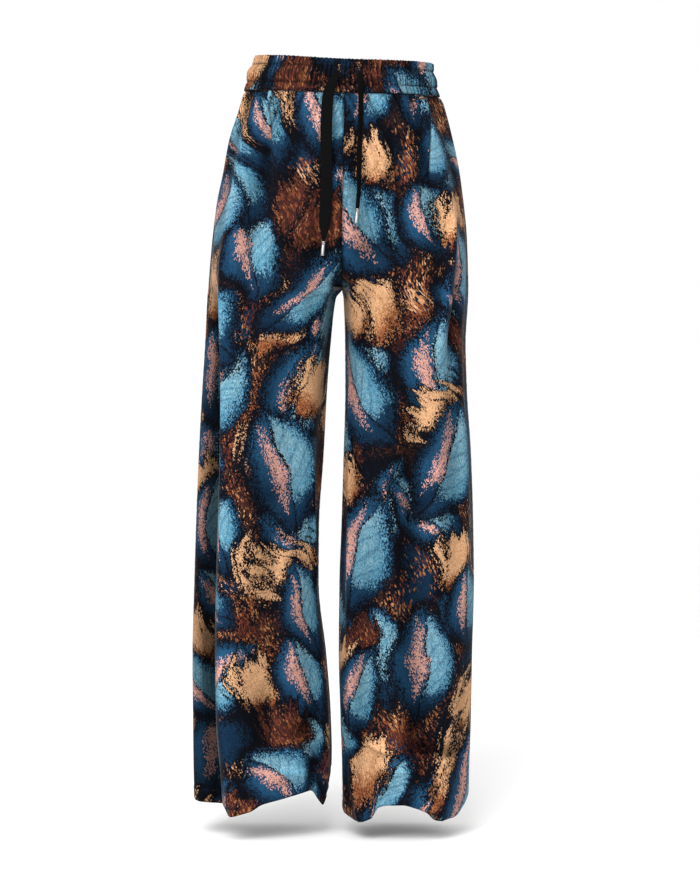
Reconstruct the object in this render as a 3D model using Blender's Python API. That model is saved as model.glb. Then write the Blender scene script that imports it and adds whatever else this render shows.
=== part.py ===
"""Wide drawstring trousers with a slight flare, in soft pile cloth, hollow and shaped as worn.

Frame: metres, +Z up, the origin at the centre of the waist, the front towards -Y and the wearer's
left at +X. Every table and size below is in millimetres, and only the finished points are metres.
"""

import math

import bmesh
import bpy
import numpy as np
from mathutils import Matrix, Vector

METRE = 0.001

# ---- driving dimensions ---------------------------------------------------------------------
CLOTH = 2.0  # wall of one layer of pile cloth
SEAM_GAP = 0.3  # between neighbouring pieces
WAIST_SEAM = -24.0  # height of the seam under the waistband
CROTCH_TOP = -185.0  # where the centre seams leave the front and the back and curve under
CROTCH = -298.0  # lowest point of the crotch seam
HEM = {"right": -1041.0, "left": -1050.0}
SIDES = {"right": -1.0, "left": 1.0}  # the wearer's right is at -X

BAND_WALL = 4.0  # two layers of cloth round an elastic
BAND_STEPS = 76  # columns round the waistband
BAND_GATHER = 0.8  # how far each gather of the waistband stands in or out
SLOT = (3.4, 30.0, 17.0)  # buttonhole for the drawstring: across, through, tall
SLOT_X = {"right": -3.4, "left": 23.2}
SLOT_Z = 1.0
WELD = 0.001

FRONT_STEPS = 19  # columns across a front panel
BACK_STEPS = 13  # columns across a back panel
HIP_ROWS = 6  # levels from the waist seam to the end of the pocket mouth
CURVE_ROWS = 6  # further levels, down to the crotch
ROW_STEP = 44.0  # height of one row of faces, down the legs

DENSE = 161  # points read along a row of the cloth where lengths are measured

MOUTH_END = -172.0  # height at which the pocket mouth ends
MOUTH_STEPS = 5  # columns of a front panel that lie behind the pocket mouth
MOUTH_DROP = 1.6  # how far the pocket facing lies under the front panel

AGLET_RADIUS = 2.75
AGLET_LENGTH = 20.0
AGLET_SIDES = 20
AGLET_EDGE = 0.4

# ---- sections -------------------------------------------------------------------------------
# Each row is a level: the outline of both halves seen from the front, and the reach in depth.
# Above the crotch the two inner columns are the centre seam.
LEVEL_COLUMNS = ("z", "right_outer", "right_inner", "left_inner", "left_outer", "front", "back")
LEVELS = (
    (-24, -137.5, 3.5, 3.5, 136.5, 101, 99),
    (-51, -145.5, 3.2, 3.2, 146.5, 107, 108),
    (-93, -160.0, 2.7, 2.7, 158.0, 113, 118),
    (-137, -169.0, 2.0, 2.0, 167.5, 115, 126),
    (-175, -177.0, 1.0, 1.0, 172.5, 114, 129),
    (-230, -183.0, 0.0, 0.0, 176.5, 111, 127),
    (-298, -188.0, 0.0, 0.0, 177.5, 106, 121),
    (-312, -189.0, -9.0, 2.5, 177.0, 105, 119),
    (-376, -192.0, -16.5, 4.7, 173.5, 101, 112),
    (-440, -196.5, -21.5, 5.0, 175.5, 97, 105),
    (-534, -203.0, -26.5, 3.0, 182.5, 92, 97),
    (-640, -208.5, -33.0, 0.0, 187.0, 87, 91),
    (-717, -211.5, -33.5, -2.8, 188.5, 84, 88),
    (-819, -214.5, -24.0, -3.8, 186.0, 82, 86),
    (-913, -214.0, -17.0, -1.5, 184.0, 83, 86),
    (-975, -213.0, -14.5, 0.5, 182.0, 86, 86),
    (-1020, -212.0, -19.0, 0.5, 181.0, 89, 85),
    (-1040, -211.5, -24.0, 1.5, 172.0, 90, 84),
    (-1058, -211.0, -30.0, 8.0, 158.0, 91, 84),
)
HIP_ROUNDNESS = 2.2  # exponent of the body's outline from above: 2 is an ellipse
LEG_ROUNDNESS = 2.35
FORK_START = -110.0  # away from the centre seams the hips turn into two legs between these levels
FORK_END = -440.0
FORK_FULLNESS = 0.09  # extra depth on the way

# The waistband's own outline: pinched along its two rows of stitches, full between them.
BAND_COLUMNS = ("z", "right_outer", "left_outer", "front", "back")
BAND = (
    (-24, -138.5, 139.0, 102.0, 100.0),
    (-12, -134.5, 134.5, 98.0, 96.0),
    (0, -133.5, 133.5, 98.5, 96.5),
    (11, -127.5, 129.5, 93.5, 92.0),
    (24, -122.0, 129.0, 91.0, 89.5),
)
# The wearer's left side of the waist sits lower: rise of the level for each millimetre to the right.
TILT_COLUMNS = ("z", "slope")
TILT = ((-200, 0.0), (-24, 0.03), (24, 0.045))

# Pocket mouths: how far across the front (mm from the origin) the mouth lies at each level.
MOUTH_COLUMNS = ("z", "right", "left")
MOUTH = (
    (-24, -104.0, 121.0),
    (-60, -101.5, 122.5),
    (-120, -97.0, 123.0),
    (-172, -91.0, 122.0),
)

# ---- folds ----------------------------------------------------------------------------------
# Each fold runs through points (across, level) seen from the front or from behind. It stands out
# of the cloth by "depth", or is sunk by it, and has nearly gone at "reach" to either side. The
# folds near a side seam are "apart" from the point: moved along the cloth towards that seam.
FOLD_COLUMNS = ("side", "face", "depth", "reach", "apart", "points")
OUTER_RIDGE = ((-156, -200), (-163, -280), (-166, -480), (-167, -900), (-159, -990), (-153, -1060))
HIP_RIDGE = ((148, -150), (152, -235), (146, -300), (138, -360), (132, -420))
FOLDS = (
    ("right", "front", 7, 24, 0, OUTER_RIDGE),
    ("right", "front", -28, 46, 40, OUTER_RIDGE[1:]),
    ("left", "front", 6, 18, 0, HIP_RIDGE),
    ("left", "front", -9, 20, 26, HIP_RIDGE[1:]),
    ("right", "front", 4, 16, 0, ((-43, -500), (-42, -560), (-38, -690), (-34, -760))),
    ("left", "front", 4, 16, 0, ((10, -400), (10, -534), (12, -900), (14, -1000), (30, -1060))),
    ("right", "front", -5, 24, 0, ((-60, -40), (-70, -120), (-78, -190))),
    ("left", "front", -5, 24, 0, ((70, -40), (76, -120), (80, -200))),
    ("left", "front", -6, 26, 0, ((96, -430), (88, -640), (94, -900))),
    ("right", "front", -5, 26, 0, ((-96, -520), (-104, -700), (-96, -900))),
    ("right", "back", 8, 30, 0, ((-150, -330), (-166, -520), (-172, -800), (-170, -1060))),
    ("right", "back", -10, 30, 0, ((-92, -300), (-112, -520), (-118, -800), (-116, -1060))),
    ("right", "back", 7, 26, 0, ((-50, -420), (-64, -640), (-62, -1060))),
    ("left", "back", 8, 30, 0, ((136, -330), (148, -540), (146, -820), (142, -1060))),
    ("left", "back", -10, 30, 0, ((84, -290), (94, -520), (96, -800), (92, -1060))),
    ("left", "back", 6, 26, 0, ((34, -440), (40, -660), (38, -1060))),
    ("right", "back", -6, 24, 0, ((-66, -36), (-78, -110), (-92, -180))),
    ("left", "back", -6, 24, 0, ((62, -36), (74, -110), (90, -180))),
)
FOLD_FADE = 70.0  # length over which a fold fades at either end

# The front hems ride up where they break over the foot: how far, at places across the front.
BREAK_COLUMNS = ("across", "rise")
BREAKS = {
    "right": ((-170, 0), (-140, 4), (-128, 8), (-112, 18), (-87, 24), (-44, 31), (-34, 16), (-22, 0)),
    "left": ((30, 0), (41, 5), (51, 22), (67, 26), (85, 26), (101, 22), (120, 14), (130, 4), (142, 0)),
}
BREAK_REACH = 130.0  # height over which the rise dies away

# ---- drawstring routes ----------------------------------------------------------------------
# The free ends, from their buttonholes down. "turn" is how far the tape is turned about its run,
# in degrees: 0 faces forwards.
TAPE_COLUMNS = ("x", "y", "z", "wide", "thick", "turn")
TAPES = {
    "right": (
        (-3.4, -99.2, 1.0, 2.6, 7.0, 0),
        (-4.6, -104.5, 0.0, 5.0, 5.0, 0),
        (-9.0, -109.5, -6.0, 10.0, 2.6, 0),
        (-14.0, -112.5, -15.0, 13.5, 1.8, 2),
        (-18.5, -115.0, -31.0, 15.6, 1.6, 4),
        (-20.8, -119.0, -60.0, 16.0, 1.6, 3),
        (-21.5, -122.0, -91.0, 16.0, 1.6, 0),
        (-21.3, -124.0, -128.0, 16.0, 1.6, -4),
        (-20.8, -124.5, -163.0, 16.0, 1.6, -4),
        (-23.4, -124.0, -206.0, 15.6, 1.6, 2),
        (-24.3, -123.8, -221.0, 10.0, 2.6, 0),
        (-25.2, -123.6, -232.0, 4.4, 4.0, 0),
    ),
    "left": (
        (23.2, -98.4, 1.0, 2.6, 7.0, 0),
        (24.0, -103.5, 0.0, 5.0, 5.0, 0),
        (25.4, -108.8, -7.0, 10.0, 2.6, 30),
        (26.2, -112.5, -20.0, 14.5, 1.8, 55),
        (26.4, -116.5, -42.0, 16.0, 1.6, 64),
        (26.0, -120.5, -70.0, 16.0, 1.6, 66),
        (24.8, -123.5, -100.0, 16.0, 1.6, 64),
        (24.0, -125.0, -135.0, 16.0, 1.6, 66),
        (23.4, -125.5, -166.0, 14.0, 1.8, 68),
        (22.4, -125.5, -178.0, 9.0, 2.8, 60),
        (21.6, -125.5, -187.0, 4.4, 4.0, 40),
    ),
}
TAPE_SAMPLES = 44

COLOURS = {
    "print_cloth": ((0.035, 0.085, 0.15), 0.62, 0.0),
    "pocket_cloth": ((0.17, 0.07, 0.045), 0.62, 0.0),
    "band_cloth": ((0.16, 0.075, 0.05), 0.66, 0.0),
    "tape": ((0.012, 0.012, 0.014), 0.85, 0.0),
    "bright_metal": ((0.62, 0.62, 0.6), 0.28, 1.0),
}


# ---- reading the tables ---------------------------------------------------------------------
def smooth(share):
    """An even rise from 0 to 1 with no corner at either end."""
    share = np.clip(share, 0.0, 1.0)
    return share * share * (3.0 - 2.0 * share)


def read_column(table, columns, name, level):
    """One column of a table at any level: a smooth curve that never overshoots its rows."""
    rows = np.array(table, float)
    rows = rows[np.argsort(rows[:, 0])]
    known = rows[:, 0]
    values = rows[:, columns.index(name)]
    slopes = np.diff(values) / np.diff(known)
    before, after = slopes[:-1], slopes[1:]
    total = np.where(before + after == 0.0, 1.0, before + after)
    middle = np.where(before * after > 0.0, 2.0 * before * after / total, 0.0)
    tangents = np.concatenate([slopes[:1], middle, slopes[-1:]])
    level = np.clip(level, known[0], known[-1])
    index = np.clip(np.searchsorted(known, level) - 1, 0, len(slopes) - 1)
    span = known[index + 1] - known[index]
    share = (level - known[index]) / span
    squared, cubed = share**2, share**3
    return (
        (2 * cubed - 3 * squared + 1) * values[index]
        + (cubed - 2 * squared + share) * span * tangents[index]
        + (3 * squared - 2 * cubed) * values[index + 1]
        + (cubed - squared) * span * tangents[index + 1]
    )


def signed_power(value, exponent):
    return np.sign(value) * np.abs(value) ** exponent


def tilt(points):
    """Lowers the wearer's left side of the waist."""
    slope = read_column(TILT, TILT_COLUMNS, "slope", points[..., 2])
    tilted = points.copy()
    tilted[..., 2] -= slope * points[..., 0]
    return tilted


# ---- the trousers' surface ------------------------------------------------------------------
def plain_surface(side, level, turn):
    """Points of one half without folds: "turn" goes from 0 at the inner edge of the front, over
    1 at the side seam, to 2 at the inner edge of the back. "level" is the height at that seam."""
    under = np.clip((CROTCH_TOP - level) / (CROTCH_TOP - CROTCH), 0.0, 1.0)
    inward = np.minimum(turn, 2.0 - turn)
    drop = (np.sin(under * math.pi / 2) - under) * (CROTCH_TOP - CROTCH)
    z = level - drop * (1.0 - smooth(inward / 0.6))
    outer = read_column(LEVELS, LEVEL_COLUMNS, side + "_outer", z)
    inner = read_column(LEVELS, LEVEL_COLUMNS, side + "_inner", z)
    front = read_column(LEVELS, LEVEL_COLUMNS, "front", z)
    back = read_column(LEVELS, LEVEL_COLUMNS, "back", z)

    around = turn * math.pi / 2
    depth = np.where(turn < 1.0, front, back)
    hip_x = inner + (outer - inner) * signed_power(np.sin(around), 2 / HIP_ROUNDNESS)
    hip_y = -depth * signed_power(np.cos(around), 2 / HIP_ROUNDNESS)

    around = (1.0 - turn) * math.pi
    leg_x = (outer + inner) / 2 + (outer - inner) / 2 * signed_power(np.cos(around), 2 / LEG_ROUNDNESS)
    leg_y = -depth * signed_power(np.sin(around), 2 / LEG_ROUNDNESS)

    at_seam = 1.0 - np.cos(under * math.pi / 2)
    away = smooth((FORK_START - level) / (FORK_START - FORK_END))
    legs = at_seam + (away - at_seam) * smooth(inward / 0.5)
    fullness = 1.0 + FORK_FULLNESS * np.sin(legs * math.pi) * smooth(inward / 0.25)
    x = hip_x + (leg_x - hip_x) * legs
    y = (hip_y + (leg_y - hip_y) * legs) * fullness
    return np.stack([x, y, z], axis=-1)


def lengths_along(points):
    """Distance from the first point of each row to every point of it."""
    steps = np.linalg.norm(np.diff(points, axis=1), axis=2)
    return np.concatenate([np.zeros((len(points), 1)), np.cumsum(steps, axis=1)], axis=1)


def turns_at(side, levels, shares, start):
    """The turns that lie at the given shares of the cloth's width, on the front or the back."""
    dense = np.linspace(start, start + 1.0, DENSE)
    points = plain_surface(side, levels[:, None], np.broadcast_to(dense, (len(levels), DENSE)))
    lengths = lengths_along(points)
    found = [np.interp(share * run[-1], run, dense) for share, run in zip(shares, lengths)]
    return np.array(found), points, lengths


def fold_route(side, fold):
    """The fold's points as (distance from the side seam along the cloth, level)."""
    facing = fold["face"] == "front"
    toward_seam = 1.0 if facing else -1.0
    route = np.array(fold["points"], float)
    dense = np.linspace(0.0, 1.0, DENSE) if facing else np.linspace(1.0, 2.0, DENSE)
    rows = plain_surface(side, route[:, 1][:, None], np.broadcast_to(dense, (len(route), DENSE)))
    found = []
    for (across, level), row, run in zip(route, rows, lengths_along(rows)):
        beyond = np.flatnonzero(np.abs(row[:, 0]) >= abs(across))
        nearest = beyond[0 if facing else -1]
        from_seam = run[nearest] - run[-1] if facing else run[nearest]
        found.append((from_seam + toward_seam * fold["apart"], level))
    return np.array(found)


def fold_relief(side, distance, level):
    """How far the folds move each point out of the plain surface."""
    relief = np.zeros_like(distance)
    for row in FOLDS:
        fold = dict(zip(FOLD_COLUMNS, row))
        if fold["side"] != side:
            continue
        route = fold_route(side, fold)
        order = np.argsort(route[:, 1])
        centre = np.interp(level, route[order, 1], route[order, 0])
        top, bottom = route[:, 1].max(), route[:, 1].min()
        ends = smooth((top - level) / FOLD_FADE)
        if bottom > min(HEM.values()):
            ends = ends * smooth((level - bottom) / FOLD_FADE)
        profile = np.exp(-(((distance - centre) / (fold["reach"] / 2)) ** 2))
        relief += fold["depth"] * ends * profile
    return relief


def hem_rise(side, points):
    """Lifts the lowest rows of the front where the hem breaks."""
    across = points[..., 0]
    hump = read_column(BREAKS[side], BREAK_COLUMNS, "rise", across)
    on_front = smooth(-points[..., 1] / 45.0)
    low = smooth((HEM[side] + BREAK_REACH - points[..., 2]) / BREAK_REACH)
    return hump * on_front * low


def normals_of(points):
    """Unit normals of a grid of points, rows down and columns from the front to the back."""
    down = np.gradient(points, axis=0)
    across = np.gradient(points, axis=1)
    normals = np.cross(down, across)
    return normals / np.maximum(np.linalg.norm(normals, axis=2, keepdims=True), 1e-9)


def row_levels(side):
    """Levels of the rows of faces, close together where the crotch seam curves under."""
    hips = np.linspace(WAIST_SEAM - SEAM_GAP / 2, MOUTH_END, HIP_ROWS)
    curve = np.linspace(MOUTH_END, CROTCH, CURVE_ROWS + 1)[1:]
    rows = round((CROTCH - HEM[side]) / ROW_STEP)
    legs = CROTCH + (HEM[side] - CROTCH) * (np.arange(1, rows + 1) / rows) ** 1.08
    return np.concatenate([hips, curve, legs])


def front_shares(side, levels):
    """Where the columns of the front lie across it. One column follows the pocket mouth."""
    even = np.linspace(0.0, 1.0, FRONT_STEPS + 1) ** 0.86
    mouth_column = FRONT_STEPS - MOUTH_STEPS
    _, points, lengths = turns_at(side, levels, np.zeros((len(levels), 1)), 0.0)
    across = read_column(MOUTH, MOUTH_COLUMNS, side, levels)
    shares = np.empty((len(levels), FRONT_STEPS + 1))
    for row, level in enumerate(levels):
        run = lengths[row] / lengths[row][-1]
        mouth = np.interp(abs(across[row]), np.abs(points[row][:, 0]), run)
        gone = smooth((MOUTH_END - level) / 200.0)
        mouth += (even[mouth_column] - mouth) * gone
        before = even[: mouth_column + 1] / even[mouth_column] * mouth
        beyond = (even[mouth_column:] - even[mouth_column]) / (1.0 - even[mouth_column])
        shares[row] = np.concatenate([before, mouth + (1.0 - mouth) * beyond[1:]])
    return shares


def half_surface(side):
    """Outer points and normals of one half, from the inner edge of the front round to the back's."""
    levels = row_levels(side)
    front = front_shares(side, levels)
    back = np.broadcast_to(np.linspace(0.0, 1.0, BACK_STEPS + 1), (len(levels), BACK_STEPS + 1))
    front_turns, _, front_lengths = turns_at(side, levels, front, 0.0)
    back_turns, _, back_lengths = turns_at(side, levels, back, 1.0)
    turns = np.concatenate([front_turns, back_turns[:, 1:]], axis=1)
    distance = np.concatenate(
        [
            (front - 1.0) * front_lengths[:, -1:],
            back[:, 1:] * back_lengths[:, -1:],
        ],
        axis=1,
    )
    points = plain_surface(side, levels[:, None], turns)
    facing = SIDES[side]
    relief = fold_relief(side, distance, points[..., 2])
    inward = np.minimum(turns, 2.0 - turns)
    relief *= smooth(inward / 0.06)
    relief *= smooth((WAIST_SEAM - levels[:, None]) / 12.0)
    points = points + facing * normals_of(points) * relief[..., None]
    points[..., 2] += hem_rise(side, points)
    normals = facing * normals_of(points)
    above = levels >= CROTCH
    for column in (0, -1):
        normals[above, column, 0] = 0.0
        low = ~above
        normals[low, column] = (normals[low, 0] + normals[low, -1]) / 2
    fork = int(np.argmin(np.abs(levels - CROTCH)))
    normals[fork, [0, -1]] = (0.0, 0.0, -1.0)
    normals /= np.linalg.norm(normals, axis=2, keepdims=True)
    return points, normals


def draw_in(grid, axis, index, neighbour):
    """Moves one edge of a grid towards the next row or column by half a seam's gap."""
    edge = np.take(grid, index, axis=axis)
    step = np.take(grid, neighbour, axis=axis) - edge
    length = np.maximum(np.linalg.norm(step, axis=-1, keepdims=True), 1e-9)
    moved = edge + step / length * (SEAM_GAP / 2)
    if axis == 0:
        grid[index] = moved
    else:
        grid[:, index] = moved


# ---- making objects -------------------------------------------------------------------------
def clear_scene():
    for thing in list(bpy.data.objects):
        bpy.data.objects.remove(thing, do_unlink=True)


def material_named(name):
    colour, roughness, metallic = COLOURS[name]
    material = bpy.data.materials.get(name) or bpy.data.materials.new(name)
    material.use_nodes = True
    shader = material.node_tree.nodes["Principled BSDF"]
    shader.inputs["Base Color"].default_value = (*colour, 1.0)
    shader.inputs["Roughness"].default_value = roughness
    shader.inputs["Metallic"].default_value = metallic
    return material


def add_object(name, mesh_source, material_name, is_smooth=True):
    """Turns a bmesh into a named object with its material."""
    bmesh.ops.recalc_face_normals(mesh_source, faces=mesh_source.faces[:])
    mesh = bpy.data.meshes.new(name)
    mesh_source.to_mesh(mesh)
    mesh_source.free()
    if is_smooth:
        mesh.shade_smooth()
    mesh.materials.append(material_named(material_name))
    thing = bpy.data.objects.new(name, mesh)
    bpy.context.scene.collection.objects.link(thing)
    return thing


def cloth_piece(name, outer, inner, material_name, notch=None):
    """A wall of cloth: a flat grid laid on the outer points, extruded, and its copy laid inside.
    The notch, if there is one, is the last row and the first column of a missing corner."""
    rows, columns = outer.shape[:2]
    piece = bmesh.new()
    bmesh.ops.create_grid(piece, x_segments=columns - 1, y_segments=rows - 1, size=1.0)
    place = piece.verts.layers.int.new("place")
    for index, vertex in enumerate(piece.verts):
        vertex[place] = index
    if notch:
        corner = [
            face
            for face in piece.faces
            if all(
                vertex[place] // columns <= notch[0] and vertex[place] % columns >= notch[1]
                for vertex in face.verts
            )
        ]
        bmesh.ops.delete(piece, geom=corner, context="FACES")
    made = bmesh.ops.extrude_face_region(piece, geom=piece.faces[:], use_keep_orig=True)
    copies = {element for element in made["geom"] if isinstance(element, bmesh.types.BMVert)}
    for vertex in piece.verts:
        grid = inner if vertex in copies else outer
        vertex.co = Vector(grid[divmod(vertex[place], columns)]) * METRE
    return add_object(name, piece, material_name)


# ---- the pieces -----------------------------------------------------------------------------
def leg_pieces(side):
    """The front panel, the back panel and the pocket facing of one side."""
    points, normals = half_surface(side)
    inside = points - normals * CLOTH
    split = FRONT_STEPS + 1
    mouth = FRONT_STEPS - MOUTH_STEPS

    front = [tilt(grid)[:, :split] for grid in (points, inside)]
    back = [tilt(grid)[:, FRONT_STEPS:] for grid in (points, inside)]
    from_mouth = np.clip((np.arange(points.shape[1]) - mouth) / MOUTH_STEPS, 0.0, 1.0)
    lowered = normals * (MOUTH_DROP * (1.0 - smooth(from_mouth)))[None, :, None]
    pocket = [tilt(grid - lowered)[: HIP_ROWS, mouth:split] for grid in (points, inside)]

    for grid in front + back + pocket:
        draw_in(grid, 1, 0, 1)
        draw_in(grid, 1, -1, -2)
    for grid in pocket:
        draw_in(grid, 0, -1, -2)
    for grid in front:
        draw_in(grid[:HIP_ROWS], 1, mouth, mouth - 1)
        draw_in(grid[:, mouth:], 0, HIP_ROWS - 1, HIP_ROWS)

    cloth_piece(f"front_panel_{side}", *front, "print_cloth", notch=(HIP_ROWS - 1, mouth))
    cloth_piece(f"back_panel_{side}", *back, "print_cloth")
    cloth_piece(f"pocket_facing_{side}", *pocket, "pocket_cloth")


def band_ring(level, inset):
    """One closed ring of the waistband's outline, with its gathers, moved in by "inset"."""
    right = read_column(BAND, BAND_COLUMNS, "right_outer", level)
    left = read_column(BAND, BAND_COLUMNS, "left_outer", level)
    front = read_column(BAND, BAND_COLUMNS, "front", level)
    back = read_column(BAND, BAND_COLUMNS, "back", level)
    around = np.linspace(0.0, 2.0 * math.pi, BAND_STEPS, endpoint=False)
    middle, half = (right + left) / 2, (left - right) / 2
    depth = np.where(np.cos(around) > 0.0, front, back)
    exponent = 2 / HIP_ROUNDNESS
    gather = np.where(np.arange(BAND_STEPS) % 2 == 0, BAND_GATHER, -BAND_GATHER)
    across = (half - inset + gather) * signed_power(np.sin(around), exponent)
    deep = -(depth - inset + gather) * signed_power(np.cos(around), exponent)
    return tilt(np.stack([middle + across, deep, np.full(BAND_STEPS, level)], axis=-1))


def waistband():
    """The gathered band: a ring carried down the outside and up the inside until it meets itself,
    with a buttonhole for each end of the drawstring."""
    bottom = WAIST_SEAM + SEAM_GAP / 2
    levels = (BAND[-1][0], 11.0, 0.0, -12.0, bottom)
    loop = [(level, 0.0) for level in levels] + [(level, BAND_WALL) for level in reversed(levels)]
    band = bmesh.new()
    bmesh.ops.create_circle(band, cap_ends=False, segments=BAND_STEPS, radius=1.0)
    order = band.verts.layers.int.new("order")
    ring = list(band.verts)
    for number, vertex in enumerate(ring):
        vertex[order] = number
    edges = band.edges[:]
    for turn, (level, inset) in enumerate(loop + loop[:1]):
        if turn:
            made = bmesh.ops.extrude_edge_only(band, edges=edges)
            ring = [item for item in made["geom"] if isinstance(item, bmesh.types.BMVert)]
            edges = [item for item in made["geom"] if isinstance(item, bmesh.types.BMEdge)]
        points = band_ring(level, inset)
        for vertex in ring:
            vertex.co = Vector(points[vertex[order]]) * METRE
    bmesh.ops.remove_doubles(band, verts=band.verts, dist=WELD * METRE)
    thing = add_object("waistband", band, "band_cloth")
    for side in SIDES:
        cut = thing.modifiers.new(f"buttonhole_{side}", "BOOLEAN")
        cut.operation = "DIFFERENCE"
        cut.solver = "EXACT"
        cut.object = slot_cutter(side)


def slot_cutter(side):
    """A guide block, not part of the garment, the size of one buttonhole."""
    block = bmesh.new()
    bmesh.ops.create_cube(block, size=1.0)
    bmesh.ops.scale(block, vec=Vector(SLOT) * METRE, verts=block.verts)
    place = Vector((SLOT_X[side], -BAND[2][3], SLOT_Z)) * METRE
    bmesh.ops.translate(block, vec=place, verts=block.verts)
    guide = add_object(f"slot_guide_{side}", block, "band_cloth", is_smooth=False)
    guide.hide_render = True
    guide.display_type = "WIRE"
    return guide


def smooth_route(rows, samples):
    """A smooth curve through the rows of a route, with their widths and turns carried along."""
    rows = np.array(rows, float)
    steps = np.linalg.norm(np.diff(rows[:, :3], axis=0), axis=1)
    known = np.concatenate([[0.0], np.cumsum(steps)])
    tangents = np.gradient(rows, known, axis=0)
    found = []
    for length in np.linspace(0.0, known[-1], samples):
        index = min(np.searchsorted(known, length, side="right") - 1, len(known) - 2)
        span = known[index + 1] - known[index]
        share = (length - known[index]) / span
        squared, cubed = share**2, share**3
        found.append(
            (2 * cubed - 3 * squared + 1) * rows[index]
            + (cubed - 2 * squared + share) * span * tangents[index]
            + (3 * squared - 2 * cubed) * rows[index + 1]
            + (cubed - squared) * span * tangents[index + 1]
        )
    return np.array(found)


def drawstring(side):
    """A flat tape: one oblong section, carried along its route by extrusion."""
    route = smooth_route(TAPES[side], TAPE_SAMPLES)
    runs = np.gradient(route[:, :3], axis=0)
    sizes = [dict(zip(TAPE_COLUMNS, row)) for row in route]
    tape = bmesh.new()
    bmesh.ops.create_grid(tape, x_segments=1, y_segments=1, size=0.5)
    order = tape.verts.layers.int.new("order")
    corners = list(tape.verts)
    for number, vertex in enumerate(corners):
        vertex[order] = number
    shape = [vertex.co.copy() for vertex in corners]
    end_face = tape.faces[:]
    for number, (size, run) in enumerate(zip(sizes, runs)):
        if number:
            made = bmesh.ops.extrude_face_region(tape, geom=end_face, use_keep_orig=True)
            if number > 1:
                bmesh.ops.delete(tape, geom=end_face, context="FACES_ONLY")
            end_face = [item for item in made["geom"] if isinstance(item, bmesh.types.BMFace)]
            corners = [item for item in made["geom"] if isinstance(item, bmesh.types.BMVert)]
        along = Vector(run).normalized()
        deep = Vector((1.0, 0.0, 0.0)).cross(along).normalized()
        wide = along.cross(deep).normalized()
        turned = Matrix.Rotation(math.radians(size["turn"]), 3, along)
        centre = Vector((size["x"], size["y"], size["z"]))
        for vertex in corners:
            corner = shape[vertex[order]]
            offset = wide * (corner.x * size["wide"]) + deep * (corner.y * size["thick"])
            vertex.co = (centre + turned @ offset) * METRE
    return add_object(f"drawstring_{side}", tape, "tape")


def aglet(side):
    """The plain metal tube that closes the end of a tape, in line with the tape's last run."""
    last = Vector(TAPES[side][-1][:3])
    before = Vector(TAPES[side][-2][:3])
    along = (last - before).normalized()
    tube = bmesh.new()
    bmesh.ops.create_cone(
        tube,
        cap_ends=True,
        segments=AGLET_SIDES,
        radius1=AGLET_RADIUS * METRE,
        radius2=AGLET_RADIUS * METRE,
        depth=AGLET_LENGTH * METRE,
    )
    rims = [edge for edge in tube.edges if abs(edge.verts[0].co.z - edge.verts[1].co.z) < 1e-6]
    bmesh.ops.bevel(
        tube,
        geom=rims,
        offset=AGLET_EDGE * METRE,
        segments=2,
        profile=0.5,
        affect="EDGES",
        material=-1,
    )
    thing = add_object(f"aglet_{side}", tube, "bright_metal")
    thing.location = (last + along * (SEAM_GAP + AGLET_LENGTH / 2)) * METRE
    thing.rotation_euler = (-along).to_track_quat("Z", "Y").to_euler()
    return thing


def main():
    clear_scene()
    waistband()
    for side in SIDES:
        leg_pieces(side)
        drawstring(side)
        aglet(side)


if __name__ == "__main__":
    main()
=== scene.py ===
"""Looks of wide drawstring trousers with a slight flare, in printed pile cloth, empty and in their worn
shape.

The sizes and tables are millimetres in the object's own frame: +Z up, the origin at the centre of the
waist, the front towards -Y and the wearer's left at +X. Only finished points are metres.
"""

import logging
import math
import sys
from collections.abc import Callable
from dataclasses import dataclass, field
from enum import Enum
from random import Random
import bmesh
import bpy
import numpy as np
from mathutils import Matrix, Vector


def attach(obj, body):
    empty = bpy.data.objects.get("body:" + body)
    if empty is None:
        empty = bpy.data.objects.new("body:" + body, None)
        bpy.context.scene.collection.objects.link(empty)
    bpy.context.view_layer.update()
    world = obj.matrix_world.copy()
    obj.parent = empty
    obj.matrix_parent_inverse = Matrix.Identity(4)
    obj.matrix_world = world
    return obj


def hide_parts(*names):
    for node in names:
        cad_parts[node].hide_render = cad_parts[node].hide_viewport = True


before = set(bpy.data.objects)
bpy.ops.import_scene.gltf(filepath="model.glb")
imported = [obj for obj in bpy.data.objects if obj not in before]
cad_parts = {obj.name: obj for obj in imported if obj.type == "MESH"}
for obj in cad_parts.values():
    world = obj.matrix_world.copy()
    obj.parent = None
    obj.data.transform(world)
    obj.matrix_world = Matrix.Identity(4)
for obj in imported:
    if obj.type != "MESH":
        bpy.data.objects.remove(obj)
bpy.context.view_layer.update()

Array = np.ndarray
METRE = 0.001
BODY = "root"
CUT_MAP = "cut"
PAINTED_SHADE = "hollow"
Pair = tuple[float, float]
Place = tuple[float, float, float]
Colour = tuple[float, float, float, float]
Material = bpy.types.Material
Shape = bmesh.types.BMesh
Thing = bpy.types.Object
LOG = logging.getLogger("trousers")


# ---- names
class Side(Enum):
    """A side of the garment, as the wearer has it."""

    RIGHT = "right"
    LEFT = "left"

    @property
    def facing(self) -> int:
        """Which way this side lies along X."""
        return -1 if self is Side.RIGHT else 1


class Face(Enum):
    """The half of a side's cloth that a fold lies on."""

    FRONT = "front"
    BACK = "back"

    @property
    def start(self) -> float:
        """The turn at which this face begins, counted from the inner edge of the front."""
        return 0.0 if self is Face.FRONT else 1.0

    @property
    def toward_seam(self) -> int:
        """The sign of a step along the cloth towards the side seam."""
        return 1 if self is Face.FRONT else -1


class Crest(Enum):
    """How a crease is shaped across its run."""

    SOFT = "soft"
    CRISP = "crisp"
    LAP = "lap"


class Motif(Enum):
    """What a layer of the print repeats."""

    LEAF = "leaf"
    DAB = "dab"


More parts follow.
